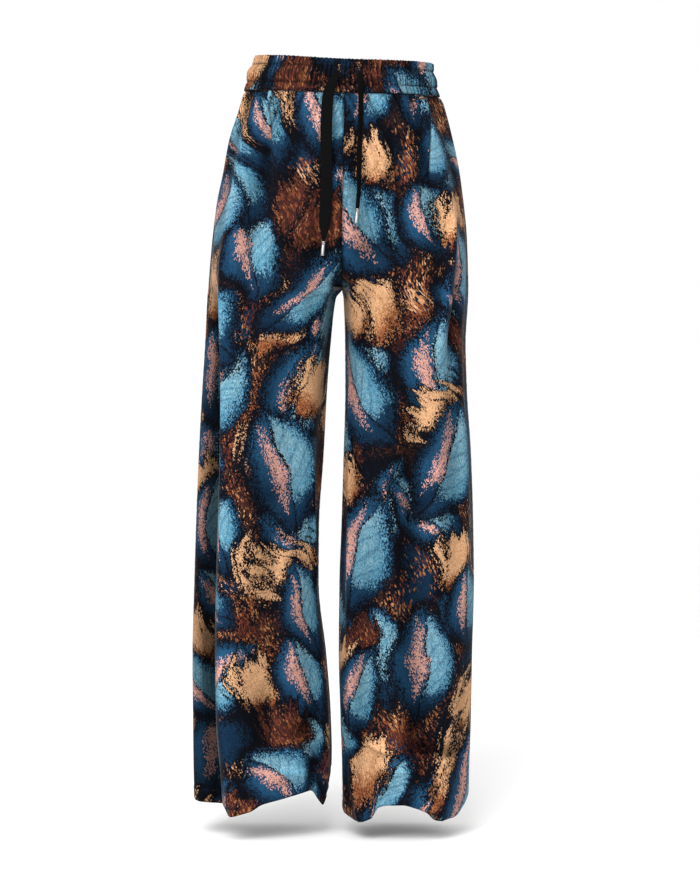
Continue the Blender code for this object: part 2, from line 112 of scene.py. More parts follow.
# ---- small sums
def smooth(share: Array | float) -> Array:
    """An even rise from 0 to 1 with no corner at either end."""
    share = np.clip(share, 0.0, 1.0)
    return share * share * (3.0 - 2.0 * share)


def hump(distance: Array, reach: float | Array) -> Array:
    """A soft ridge: 1 at distance 0, and nearly nothing at twice the reach."""
    return np.exp(-((distance / reach) ** 2))


def signed_power(value: Array, exponent: float) -> Array:
    """Raises the size of a value to a power and keeps its sign."""
    return np.sign(value) * np.abs(value) ** exponent


def run_lengths(points: Array) -> Array:
    """Measures the distance from the first point of each row of a grid to every point of it."""
    steps = np.linalg.norm(np.diff(points, axis=1), axis=2)
    return np.concatenate([np.zeros((len(points), 1)), np.cumsum(steps, axis=1)], axis=1)


def normals_of(points: Array) -> Array:
    """Unit normals of a grid whose rows go down and whose columns go round."""
    normals = np.cross(np.gradient(points, axis=0), np.gradient(points, axis=1))
    return normals / np.maximum(np.linalg.norm(normals, axis=2, keepdims=True), 1e-9)


def curve_through(known: Array, values: Array, tangents: Array, at: Array) -> Array:
    """Reads a smooth curve through known values with known slopes.

    Args:
        known: where the values are known, rising.
        values: the values there.
        tangents: the slopes there.
        at: where to read.

    Returns:
        The values at each place.
    """
    index = np.clip(np.searchsorted(known, at, side="right") - 1, 0, len(known) - 2)
    span = known[index + 1] - known[index]
    share = (at - known[index]) / span
    if values.ndim == 2:
        span, share = span[:, None], share[:, None]
    squared, cubed = share**2, share**3
    return (
        (2 * cubed - 3 * squared + 1) * values[index]
        + (cubed - 2 * squared + share) * span * tangents[index]
        + (3 * squared - 2 * cubed) * values[index + 1]
        + (cubed - squared) * span * tangents[index + 1]
    )


def smooth_route(rows: Array, samples: int) -> Array:
    """Reads a smooth curve through the rows of a route.

    Args:
        rows: the route's rows, the first three columns of which are its points.
        samples: how many rows to return.

    Returns:
        Rows an even distance apart, with the other columns carried along.
    """
    rows = np.array(rows, float)
    known = run_lengths(rows[None, :, :3])[0]
    at = np.linspace(0.0, known[-1], samples)
    return curve_through(known, rows, np.gradient(rows, known, axis=0), at)


def ruled(start: Array, end: Array, steps: tuple[float, ...], count: int) -> Array:
    """Rules each row from start to end, closely near both ends and evenly between them.

    Args:
        start: where each row begins.
        end: where each row ends.
        steps: distances from either end, beginning with 0.
        count: how many places there are between the two close stretches.

    Returns:
        The places, a row for each start.
    """
    near = np.array(steps)
    start, end = np.asarray(start)[..., None], np.asarray(end)[..., None]
    share = np.linspace(0.0, 1.0, count + 2)[1:-1]
    first, last = start + near, end - near[::-1]
    middle = first[..., -1:] + (last[..., :1] - first[..., -1:]) * share
    return np.concatenate([first, middle, last], axis=-1)


@dataclass(frozen=True)
class Outline:
    """A short table of sizes by level, read as a smooth curve.

    Attributes:
        columns: the names of the columns, the first of which is the level.
    """

    columns: tuple[str, ...]
    rows: tuple[tuple[float, ...], ...]

    def read(self, name: str, level: Array | float) -> Array:
        """Reads a column at any level, on a curve that never overshoots its rows.

        Args:
            name: the column.
            level: the levels to read at.

        Returns:
            The sizes there.
        """
        rows = np.array(self.rows, float)
        rows = rows[np.argsort(rows[:, 0])]
        known, values = rows[:, 0], rows[:, self.columns.index(name)]
        slopes = np.diff(values) / np.diff(known)
        before, after = slopes[:-1], slopes[1:]
        total = np.where(before + after == 0.0, 1.0, before + after)
        middle = np.where(before * after > 0.0, 2.0 * before * after / total, 0.0)
        tangents = np.concatenate([slopes[:1], middle, slopes[-1:]])
        return curve_through(known, values, tangents, np.clip(level, known[0], known[-1]))


# ---- the sizes that the frame was built from
SECTIONS = Outline(
    ("z", "right_outer", "right_inner", "left_inner", "left_outer", "front", "back"),
    (
        (-24, -137.5, 3.5, 3.5, 136.5, 101, 99),
        (-51, -145.5, 3.2, 3.2, 146.5, 107, 108),
        (-93, -160.0, 2.7, 2.7, 158.0, 113, 118),
        (-137, -169.0, 2.0, 2.0, 167.5, 115, 126),
        (-175, -177.0, 1.0, 1.0, 172.5, 114, 129),
        (-230, -183.0, 0.0, 0.0, 176.5, 111, 127),
        (-298, -188.0, 0.0, 0.0, 177.5, 106, 121),
        (-312, -189.0, -9.0, 2.5, 177.0, 105, 119),
        (-376, -192.0, -16.5, 4.7, 173.5, 101, 112),
        (-440, -196.5, -21.5, 5.0, 175.5, 97, 105),
        (-534, -203.0, -26.5, 3.0, 182.5, 92, 97),
        (-640, -208.5, -33.0, 0.0, 187.0, 87, 91),
        (-717, -211.5, -33.5, -2.8, 188.5, 84, 88),
        (-819, -214.5, -24.0, -3.8, 186.0, 82, 86),
        (-913, -214.0, -17.0, -1.5, 184.0, 83, 86),
        (-975, -213.0, -14.5, 0.5, 182.0, 86, 86),
        (-1020, -212.0, -19.0, 0.5, 181.0, 89, 85),
        (-1040, -211.5, -24.0, 1.5, 172.0, 90, 84),
        (-1058, -211.0, -30.0, 8.0, 158.0, 91, 84),
    ),
)
BAND_SECTIONS = Outline(
    ("z", "right_outer", "left_outer", "front", "back"),
    (
        (-24, -138.5, 139.0, 102.0, 100.0),
        (-12, -134.5, 134.5, 98.0, 96.0),
        (0, -133.5, 133.5, 98.5, 96.5),
        (11, -127.5, 129.5, 93.5, 92.0),
        (24, -122.0, 129.0, 91.0, 89.5),
    ),
)
WAIST_TILT = Outline(("z", "slope", "dip"), ((-200, 0.0, 0.0), (-24, 0.03, 2.4), (24, 0.045, 3.0)))
POCKET_MOUTH = Outline(
    ("z", "right", "left"),
    ((-24, -104.0, 121.0), (-60, -101.5, 122.5), (-120, -97.0, 123.0), (-172, -91.0, 122.0)),
)
RIGHT_BREAK = ((-214, 13), (-168, 13), (-158, 0), (-140, 4), (-128, 8), (-112, 18), (-87, 24), (-44, 33))
LEFT_BREAK = ((30, 0), (41, 5), (51, 22), (67, 26), (85, 26), (101, 22), (120, 14), (130, 4), (142, 0))
HEM_BREAK = {
    Side.RIGHT: Outline(("across", "rise"), RIGHT_BREAK + ((-34, 19), (-22, 0))),
    Side.LEFT: Outline(("across", "rise"), LEFT_BREAK),
}
BACK_LIFT = {Side.RIGHT: 12.0, Side.LEFT: 6.0}
TAPES = {
    Side.RIGHT: (
        (-3.4, -99.2, 1.0, 2.6, 7.0, 0),
        (-4.6, -104.5, 0.0, 5.0, 5.0, 0),
        (-9.0, -109.5, -6.0, 10.0, 2.6, 0),
        (-14.0, -112.5, -15.0, 13.5, 1.8, 2),
        (-18.5, -115.0, -31.0, 15.6, 1.6, 4),
        (-20.8, -119.0, -60.0, 16.0, 1.6, 3),
        (-21.5, -122.0, -91.0, 16.0, 1.6, 0),
        (-21.3, -124.0, -128.0, 16.0, 1.6, -4),
        (-20.8, -124.5, -163.0, 16.0, 1.6, -4),
        (-23.4, -124.0, -206.0, 15.6, 1.6, 2),
        (-24.3, -123.8, -221.0, 10.0, 2.6, 0),
        (-25.2, -123.6, -232.0, 4.4, 4.0, 0),
    ),
    Side.LEFT: (
        (23.2, -98.4, 1.0, 2.6, 7.0, 0),
        (24.0, -103.5, 0.0, 5.0, 5.0, 0),
        (25.4, -108.8, -7.0, 10.0, 2.6, 30),
        (26.2, -112.5, -20.0, 14.5, 1.8, 55),
        (26.4, -116.5, -42.0, 16.0, 1.6, 64),
        (26.0, -120.5, -70.0, 16.0, 1.6, 66),
        (24.8, -123.5, -100.0, 16.0, 1.6, 64),
        (24.0, -125.0, -135.0, 16.0, 1.6, 66),
        (23.4, -125.5, -166.0, 14.0, 1.8, 68),
        (22.4, -125.5, -178.0, 9.0, 2.8, 60),
        (21.6, -125.5, -187.0, 4.4, 4.0, 40),
    ),
}


# ---- camera, light and floor
@dataclass
class Studio:
    """A pale floor under plain soft light, seen from where the photograph was taken.

    Attributes:
        lens: its focal length for a 36 mm long side.
        floor: height of the floor, a little below the hems.
    """

    eye: Place = (11.4, -4500.0, -250.0)
    aim: Place = (11.4, 0.0, -511.0)
    lens: float = 130.15
    floor: float = -1078.0
    floor_radius: float = 5200.0
    clear_radius: float = 900.0

    def aimed(self, name: str, data: bpy.types.ID, place: Place, aim: Place) -> Thing:
        """Links the camera or a lamp at its place, turned to a point.

        Args:
            name: its name.
            data: the camera or light.
            place: where it is, in millimetres.
            aim: the point that it faces.

        Returns:
            The object.
        """
        thing = bpy.data.objects.new(name, data)
        thing.location = Vector(place) * METRE
        thing.rotation_euler = (Vector(aim) - Vector(place)).to_track_quat("-Z", "Y").to_euler()
        bpy.context.scene.collection.objects.link(thing)
        return thing

    def camera(self) -> None:
        """Places the camera and makes it the scene's own."""
        data = bpy.data.cameras.new("camera")
        data.lens = self.lens
        data.clip_start = 0.1
        data.clip_end = 60.0
        bpy.context.scene.camera = self.aimed("camera", data, self.eye, self.aim)

    def lamp(self, name: str, place: Place, size: float, power: float) -> None:
        """Hangs one square softbox, aimed at the middle of the garment.

        Args:
            name: the lamp's name.
            place: where it hangs, in millimetres.
            size: its side, in millimetres.
            power: its power in watts.
        """
        data = bpy.data.lights.new(name, "AREA")
        data.shape = "SQUARE"
        data.size = size * METRE
        data.energy = power
        self.aimed(name, data, place, (0.0, 0.0, -500.0))

    def light(self) -> None:
        """Sets the pale surroundings and the softboxes."""
        world = bpy.data.worlds.new("surroundings")
        world.use_nodes = True
        background = world.node_tree.nodes["Background"]
        background.inputs["Color"].default_value = (1.0, 1.0, 1.0, 1.0)
        background.inputs["Strength"].default_value = 1.0
        bpy.context.scene.world = world
        bpy.context.scene.view_settings.view_transform = "Standard"
        self.lamp("key", (-900.0, -3000.0, 1800.0), 2300.0, 196.0)
        self.lamp("fill", (2200.0, -2600.0, 300.0), 1600.0, 12.0)

    def ground(self, finish: Material) -> None:
        """Lays the floor as a broad disc.

        Args:
            finish: the floor's material.
        """
        disc = bmesh.new()
        bmesh.ops.create_circle(disc, cap_ends=True, segments=96, radius=self.floor_radius * METRE)
        bmesh.ops.translate(disc, vec=(0.0, 0.0, self.floor * METRE), verts=disc.verts)
        floor = piece_of("floor", disc, [finish])


def piece_of(name: str, shape: Shape, finishes: list[Material]) -> Thing:
    """Turns a bmesh into a smooth-shaded object.

    Args:
        name: the object's name.
        shape: the bmesh, which is freed.
        finishes: its materials, in slot order.

    Returns:
        The object, linked to the scene.
    """
    mesh = bpy.data.meshes.new(name)
    shape.to_mesh(mesh)
    shape.free()
    mesh.shade_smooth()
    for finish in finishes:
        mesh.materials.append(finish)
    thing = bpy.data.objects.new(name, mesh)
    bpy.context.scene.collection.objects.link(thing)
    return thing


def grid_of(points: Array, cut: Array, hollow: Array | None = None) -> Shape:
    """Lays a flat grid on rows of points.

    Args:
        points: the points, in millimetres.
        cut: where each point lies on the flat cloth, in metres.
        hollow: the painted shade at each point, below 0 where a crest has a painted highlight.

    Returns:
        The grid, with its cut as a UV map.
    """
    rows, columns = points.shape[:2]
    shape = bmesh.new()
    bmesh.ops.create_grid(shape, x_segments=columns - 1, y_segments=rows - 1, size=1.0)
    flat = shape.loops.layers.uv.new(CUT_MAP)
    for vertex, point, place in zip(shape.verts, points.reshape(-1, 3) * METRE, cut.reshape(-1, 2)):
        vertex.co = point
        for loop in vertex.link_loops:
            loop[flat].uv = place
    # Painted shade and painted highlight, kept on each point for the print's colour to be darkened or
    # lightened by.
    if hollow is not None:
        deep = shape.verts.layers.float.new(PAINTED_SHADE)
        for vertex, depth in zip(shape.verts, hollow.ravel()):
            vertex[deep] = depth
    return shape


def copies_of(name: str, shape: Shape, places: list[Matrix], finishes: list[Material]) -> Thing:
    """Joins many placed copies of one small shape into an object.

    Args:
        name: the object's name.
        shape: the small shape, which is freed.
        places: what each copy is moved and sized by.
        finishes: its materials, in slot order.

    Returns:
        The object, linked to the scene.
    """
    corners = np.array([(*vertex.co, 1.0) for vertex in shape.verts])
    faces = [[vertex.index for vertex in face.verts] for face in shape.faces]
    shape.free()
    points = np.einsum("pij,vj->pvi", np.array(places), corners)[..., :3].reshape(-1, 3)
    starts = range(0, len(points), len(corners))
    mesh = bpy.data.meshes.new(name)
    copied = [[start + corner for corner in face] for start in starts for face in faces]
    mesh.from_pydata(points.tolist(), [], copied)
    joined = bmesh.new()
    joined.from_mesh(mesh)
    bpy.data.meshes.remove(mesh)
    return piece_of(name, joined, finishes)


def declared(piece: Thing, node: str | None = None) -> Thing:
    """Says which body a piece rides on and the node that it replaces."""
    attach(piece, BODY)
    if node:
        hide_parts(node)
    return piece


# ---- the worn form
@dataclass(frozen=True)
class WornForm:
    """The trousers' worn shape without folds: round hips that part into two straight, wide legs.

    Attributes:
        crotch_top: where the centre seams leave the front and the back and curve under.
        crotch: lowest point of the crotch seam.
        hip_roundness: exponent of the hips' outline from above, where 2 is an ellipse.
        leg_roundness: the same for a leg.
        fork_start: where the hips begin to turn into legs, away from the centre seams.
        fork_end: where they have become legs.
        fork_fullness: extra depth on the way.
        dense: points read along a row where lengths are measured.
    """

    waist_seam: float = -24.0
    crotch_top: float = -185.0
    crotch: float = -298.0
    mouth_end: float = -172.0
    hip_roundness: float = 2.2
    leg_roundness: float = 2.35
    fork_start: float = -110.0
    fork_end: float = -440.0
    fork_fullness: float = 0.09
    break_reach: float = 130.0
    dense: int = 241

    def hem(self, side: Side) -> float:
        """Height of one leg's hem."""
        return -1041.0 if side is Side.RIGHT else -1050.0

    def surface(self, side: Side, level: Array, turn: Array) -> Array:
        """Works out points of one side's plain surface.

        Args:
            side: the side.
            level: height of each row at the side seam.
            turn: 0 at the inner edge of the front, 1 at the side seam, 2 at the back's inner edge.

        Returns:
            The points, in millimetres.
        """
        curve = self.crotch_top - self.crotch
        under = np.clip((self.crotch_top - level) / curve, 0.0, 1.0)
        inward = np.minimum(turn, 2.0 - turn)
        drop = (np.sin(under * math.pi / 2) - under) * curve
        z = level - drop * (1.0 - smooth(inward / 0.6))
        outer = SECTIONS.read(side.value + "_outer", z)
        inner = SECTIONS.read(side.value + "_inner", z)
        depth = np.where(turn < 1.0, SECTIONS.read("front", z), SECTIONS.read("back", z))
        around = turn * math.pi / 2
        hip_x = inner + (outer - inner) * signed_power(np.sin(around), 2 / self.hip_roundness)
        hip_y = -depth * signed_power(np.cos(around), 2 / self.hip_roundness)
        around = (1.0 - turn) * math.pi
        middle, half = (outer + inner) / 2, (outer - inner) / 2
        leg_x = middle + half * signed_power(np.cos(around), 2 / self.leg_roundness)
        leg_y = -depth * signed_power(np.sin(around), 2 / self.leg_roundness)
        at_seam = 1.0 - np.cos(under * math.pi / 2)
        away = smooth((self.fork_start - level) / (self.fork_start - self.fork_end))
        legs = at_seam + (away - at_seam) * smooth(inward / 0.5)
        fullness = 1.0 + self.fork_fullness * np.sin(legs * math.pi) * smooth(inward / 0.25)
        x = hip_x + (leg_x - hip_x) * legs
        y = (hip_y + (leg_y - hip_y) * legs) * fullness
        return np.stack([x, y, z], axis=-1)

    def rows(self, side: Side, face: Face, levels: Array) -> tuple[Array, Array, Array]:
        """Reads whole rows of one face closely, to measure along them.

        Args:
            side: the side.
            face: its front or back.
            levels: the rows' heights.

        Returns:
            The turns read, the points of each row, and the lengths along it.
        """
        turns = np.linspace(face.start, face.start + 1.0, self.dense)
        points = self.surface(side, levels[:, None], np.broadcast_to(turns, (len(levels), self.dense)))
        return turns, points, run_lengths(points)

    def seam_distance(self, side: Side, face: Face, across: Array, levels: Array) -> Array:
        """Finds how far from the side seam a place lies along the cloth.

        Args:
            side: the side.
            face: its front or back.
            across: the places' X, seen from the front or from behind.
            levels: their heights.

        Returns:
            The distances, negative on the front.
        """
        _, points, lengths = self.rows(side, face, np.asarray(levels, float))
        found = []
        for place, row, run in zip(across, points, lengths):
            reach = np.abs(row[:, 0]) if face is Face.FRONT else np.abs(row[::-1, 0])
            along = run - run[-1] if face is Face.FRONT else run[::-1]
            outward = np.maximum.accumulate(reach)
            found.append(np.interp(abs(place), outward, along))
        return np.array(found)

    def hem_rise(self, side: Side, points: Array) -> Array:
        """How far the hem lies above its lowest level: its front's break, and its back."""
        rise = HEM_BREAK[side].read("rise", points[..., 0])
        on_front = smooth(-points[..., 1] / 45.0)
        behind = BACK_LIFT[side] * smooth((points[..., 1] + 45.0) / 35.0)
        low = smooth((self.hem(side) + self.break_reach - points[..., 2]) / self.break_reach)
        return (rise * on_front + behind) * low


def tilted(points: Array) -> Array:
    """Lowers the wearer's left side of the waist, and the middle of its front a little."""
    moved = points.copy()
    moved[..., 2] -= WAIST_TILT.read("slope", points[..., 2]) * points[..., 0]
    in_front = hump(points[..., 0], 80.0) * smooth(-points[..., 1] / 60.0)
    moved[..., 2] -= WAIST_TILT.read("dip", points[..., 2]) * in_front
    return moved


# ---- folds and creases
@dataclass(frozen=True)
class Fold:
    """A long fold that the worn cloth hangs in, running down through points (across, level).

    Attributes:
        depth: how far it stands out of the cloth, or is sunk if negative.
        reach: distance to either side at which it has nearly gone.
        apart: how far it is moved from its points along the cloth towards the side seam.
        points: where it runs, seen from the front or from behind.
    """

    side: Side
    face: Face
    depth: float
    reach: float
    apart: float
    points: tuple[Pair, ...]
    crest: Crest = Crest.SOFT
    fade: float = 70.0

    def relief(self, form: WornForm, distance: Array, level: Array) -> Array:
        """Works out how far the fold moves the cloth out.

        Args:
            form: the worn form.
            distance: each point's distance from the side seam along the cloth.
            level: each point's height.

        Returns:
            The move at each point.
        """
        across, levels = np.array(self.points, float).T
        centres = form.seam_distance(self.side, self.face, across, levels)
        centres += self.face.toward_seam * self.apart
        route = Outline(("level", "centre"), tuple(zip(levels, centres)))
        ends = smooth((levels.max() - level) / self.fade)
        if levels.min() > form.hem(self.side):
            ends = ends * smooth((level - levels.min()) / self.fade)
        off = (distance - route.read("centre", level)) * self.face.toward_seam
        return self.depth * ends * crest_profile(self.crest, off, self.reach / 2)


@dataclass(frozen=True)
class Crease:
    """A shorter crease that may run any way over the cloth, through points (across, level).

    Attributes:
        reach: half its width.
        samples: points read along its smooth route.
        fade: share of its length over which it rises at either end.
    """

    side: Side
    face: Face
    crest: Crest
    depth: float
    reach: float
    points: tuple[Pair, ...]
    samples: int = 48
    fade: float = 0.35

    def relief(self, form: WornForm, distance: Array, level: Array) -> Array:
        """Works out how far the crease moves the cloth out.

        Args:
            form: the worn form.
            distance: each point's distance from the side seam along the cloth.
            level: each point's height.

        Returns:
            The move at each point.
        """
        across, levels = np.array(self.points, float).T
        centres = form.seam_distance(self.side, self.face, across, levels)
        route = smooth_route(np.stack([centres, levels, np.zeros(len(levels))], axis=-1), self.samples)
        run = np.gradient(route[:, :2], axis=0)
        run /= np.linalg.norm(run, axis=1, keepdims=True)
        found = np.zeros_like(distance)
        near = 3.0 * self.reach
        low, high = route[:, :2].min(axis=0) - near, route[:, :2].max(axis=0) + near
        inside = (distance > low[0]) & (distance < high[0]) & (level > low[1]) & (level < high[1])
        places = np.stack([distance[inside], level[inside]], axis=-1)
        if not len(places):
            return found
        steps = places[:, None, :] - route[None, :, :2]
        nearest = np.argmin((steps**2).sum(axis=2), axis=1)
        step, along = steps[np.arange(len(places)), nearest], run[nearest]
        off = step[:, 0] * along[:, 1] - step[:, 1] * along[:, 0]
        beyond = np.abs((step * along).sum(axis=1))
        share = nearest / (self.samples - 1)
        ends = smooth(share / self.fade) * smooth((1.0 - share) / self.fade)
        found[inside] = self.depth * ends * crest_profile(self.crest, off, self.reach)
        found[inside] *= hump(beyond, self.reach)
        return found


def crest_profile(crest: Crest, off: Array, reach: float) -> Array:
    """The height of a crease across its run, 1 at its crest.

    Args:
        crest: its shape.
        off: distance from the crest, positive to one side.
        reach: distance at which a soft crease has lost two thirds of its height.

    Returns:
        The height at each distance.
    """
    if crest is Crest.CRISP:
        edge = 0.3
        return np.exp(edge - np.sqrt((off / reach * 1.25) ** 2 + edge**2))
    if crest is Crest.LAP:
        return hump(off, np.where(off > 0.0, reach * 0.38, reach * 1.25))
    return hump(off, reach)


@dataclass(frozen=True)
class WaistGathers:
    """Small uneven gathers that run down from the waist seam and die away.

    Attributes:
        depth: how far the strongest stands out.
        longest: how far the longest runs down.
    """

    pitch: float = 8.5
    depth: float = 3.0
    longest: float = 105.0
    seed: int = 4

    def relief(self, side: Side, distance: Array, below: Array, wide: float) -> Array:
        """Works out the gathers of one side.

        Args:
            side: the side.
            distance: each point's distance from the side seam along the cloth.
            below: how far each point lies under the waist seam.
            wide: the cloth's width from the side seam to either inner edge.

        Returns:
            The move at each point.
        """
        chance = Random(self.seed + side.facing)
        found = np.zeros_like(distance)
        place = -wide
        while place < wide:
            place += self.pitch * chance.uniform(0.6, 1.5)
            half = self.pitch * chance.uniform(0.26, 0.46)
            length = self.longest * chance.uniform(0.2, 1.0) ** 1.5
            height = self.depth * chance.uniform(0.35, 1.0)
            lean = chance.uniform(-0.06, 0.06)
            spread = half * (1.0 + below / (1.6 * self.longest))
            gone = np.exp(-((below / length) ** 1.6)) * smooth(below / 7.0 + 0.15)
            off = distance - place - lean * below
            found += height * gone * (hump(off, spread) - 0.5 * hump(off, 2.0 * spread))
        return found


@dataclass(frozen=True)
class SlowWaves:
    """The cloth's own slow unevenness: long shallow waves that hang down the legs."""

    height: float = 1.15
    count: int = 7
    seed: int = 11

    def relief(self, side: Side, distance: Array, level: Array) -> Array:
        """Works out the waves of one side."""
        chance = Random(self.seed * side.facing)
        found = np.zeros_like(distance)
        for _ in range(self.count):
            across = 2 * math.pi / chance.uniform(46.0, 120.0)
            along = 2 * math.pi / chance.uniform(420.0, 1300.0) * chance.choice((-1, 1))
            start = chance.uniform(0.0, 2 * math.pi)
            height = self.height * chance.uniform(0.4, 1.0)
            found += height * np.sin(across * distance + along * level + start)
        return found


OUTER_RIDGE = ((-156, -200), (-163, -280), (-166, -480), (-167, -900), (-159, -990), (-153, -1060))
HIP_RIDGE = ((148, -150), (152, -235), (146, -300), (138, -360), (132, -420))
RIGHT, LEFT, FRONT, BACK = Side.RIGHT, Side.LEFT, Face.FRONT, Face.BACK
SOFT, CRISP, LAP = Crest.SOFT, Crest.CRISP, Crest.LAP
FOLDS = (
    Fold(RIGHT, FRONT, 9, 22, 0, OUTER_RIDGE, CRISP),
    Fold(RIGHT, FRONT, -28, 46, 40, OUTER_RIDGE[1:]),
    Fold(LEFT, FRONT, 7, 18, 0, HIP_RIDGE, CRISP),
    Fold(LEFT, FRONT, -9, 20, 26, HIP_RIDGE[1:]),
    Fold(RIGHT, FRONT, 5, 13, 0, ((-43, -500), (-42, -560), (-38, -690), (-34, -760)), CRISP),
    Fold(LEFT, FRONT, 5, 13, 0, ((10, -400), (10, -534), (12, -900), (14, -1000), (30, -1060)), CRISP),
    Fold(RIGHT, FRONT, -5, 24, 0, ((-60, -40), (-70, -120), (-78, -190))),
    Fold(LEFT, FRONT, -5, 24, 0, ((70, -40), (76, -120), (80, -200))),
    Fold(LEFT, FRONT, -6, 26, 0, ((96, -430), (88, -640), (94, -900))),
    Fold(RIGHT, FRONT, -5, 26, 0, ((-96, -520), (-104, -700), (-96, -900))),
    Fold(RIGHT, BACK, 8, 30, 0, ((-150, -330), (-166, -520), (-172, -800), (-170, -1060))),
    Fold(RIGHT, BACK, -10, 30, 0, ((-92, -300), (-112, -520), (-118, -800), (-116, -1060))),
    Fold(RIGHT, BACK, 7, 26, 0, ((-50, -420), (-64, -640), (-62, -1060))),
    Fold(LEFT, BACK, 8, 30, 0, ((136, -330), (148, -540), (146, -820), (142, -1060))),
    Fold(LEFT, BACK, -10, 30, 0, ((84, -290), (94, -520), (96, -800), (92, -1060))),
    Fold(LEFT, BACK, 6, 26, 0, ((34, -440), (40, -660), (38, -1060))),
    Fold(RIGHT, BACK, -6, 24, 0, ((-66, -36), (-78, -110), (-92, -180))),
    Fold(LEFT, BACK, -6, 24, 0, ((62, -36), (74, -110), (90, -180))),
)
CREASES = (
    Crease(LEFT, FRONT, SOFT, 3.0, 11, ((118, -140), (120, -200), (116, -262))),
    Crease(RIGHT, FRONT, SOFT, 2.4, 10, ((-112, -190), (-118, -260), (-114, -330))),
    Crease(RIGHT, FRONT, SOFT, -9.0, 14, ((-104, -830), (-114, -905), (-106, -985))),
    Crease(RIGHT, FRONT, LAP, 12.0, 15, ((-94, -938), (-62, -952), (-38, -982))),
    Crease(RIGHT, FRONT, SOFT, 9.5, 12, ((-100, -984), (-72, -998), (-46, -1020))),
    Crease(RIGHT, FRONT, SOFT, -8.5, 13, ((-28, -880), (-48, -918), (-80, -934))),
    Crease(LEFT, FRONT, LAP, -11.0, 14, ((80, -940), (130, -953), (178, -955))),
    Crease(LEFT, FRONT, SOFT, 8.0, 13, ((42, -968), (72, -986), (106, -996))),
    Crease(LEFT, FRONT, SOFT, 11.0, 15, ((80, -1012), (106, -1026), (138, -1036))),
    Crease(LEFT, FRONT, LAP, 9.0, 12, ((30, -930), (60, -952), (100, -962))),
    Crease(LEFT, FRONT, SOFT, -8.0, 15, ((126, -860), (102, -914), (84, -980))),
    Crease(LEFT, FRONT, SOFT, -5.0, 14, ((150, -560), (118, -600), (80, -610))),
    Crease(RIGHT, FRONT, SOFT, -5.0, 14, ((-60, -560), (-96, -590), (-138, -580))),
    Crease(LEFT, FRONT, SOFT, -5.5, 13, ((16, -262), (52, -240), (96, -232))),
    Crease(RIGHT, FRONT, SOFT, -5.5, 13, ((-14, -258), (-50, -242), (-98, -246))),
    Crease(RIGHT, BACK, SOFT, 3.2, 13, ((-18, -286), (-62, -322), (-124, -326))),
    Crease(LEFT, BACK, SOFT, 2.8, 12, ((20, -292), (58, -318), (108, -316))),
    Crease(RIGHT, BACK, LAP, 2.6, 11, ((-34, -232), (-80, -262), (-136, -258))),
    Crease(LEFT, BACK, LAP, 2.8, 11, ((28, -240), (76, -272), (140, -282))),
    Crease(RIGHT, BACK, SOFT, -2.6, 12, ((-60, -548), (-104, -566), (-150, -552))),
    Crease(LEFT, BACK, SOFT, -2.8, 12, ((44, -560), (88, -582), (138, -574))),
    Crease(RIGHT, BACK, SOFT, 2.6, 11, ((-70, -598), (-112, -610), (-158, -590))),
    Crease(LEFT, BACK, LAP, 2.6, 10, ((52, -978), (92, -992), (146, -984))),
    Crease(RIGHT, BACK, LAP, 2.8, 10, ((-66, -962), (-104, -974), (-158, -966))),
    Crease(RIGHT, BACK, SOFT, 2.4, 9, ((-74, -1000), (-110, -1008), (-150, -1002))),
)


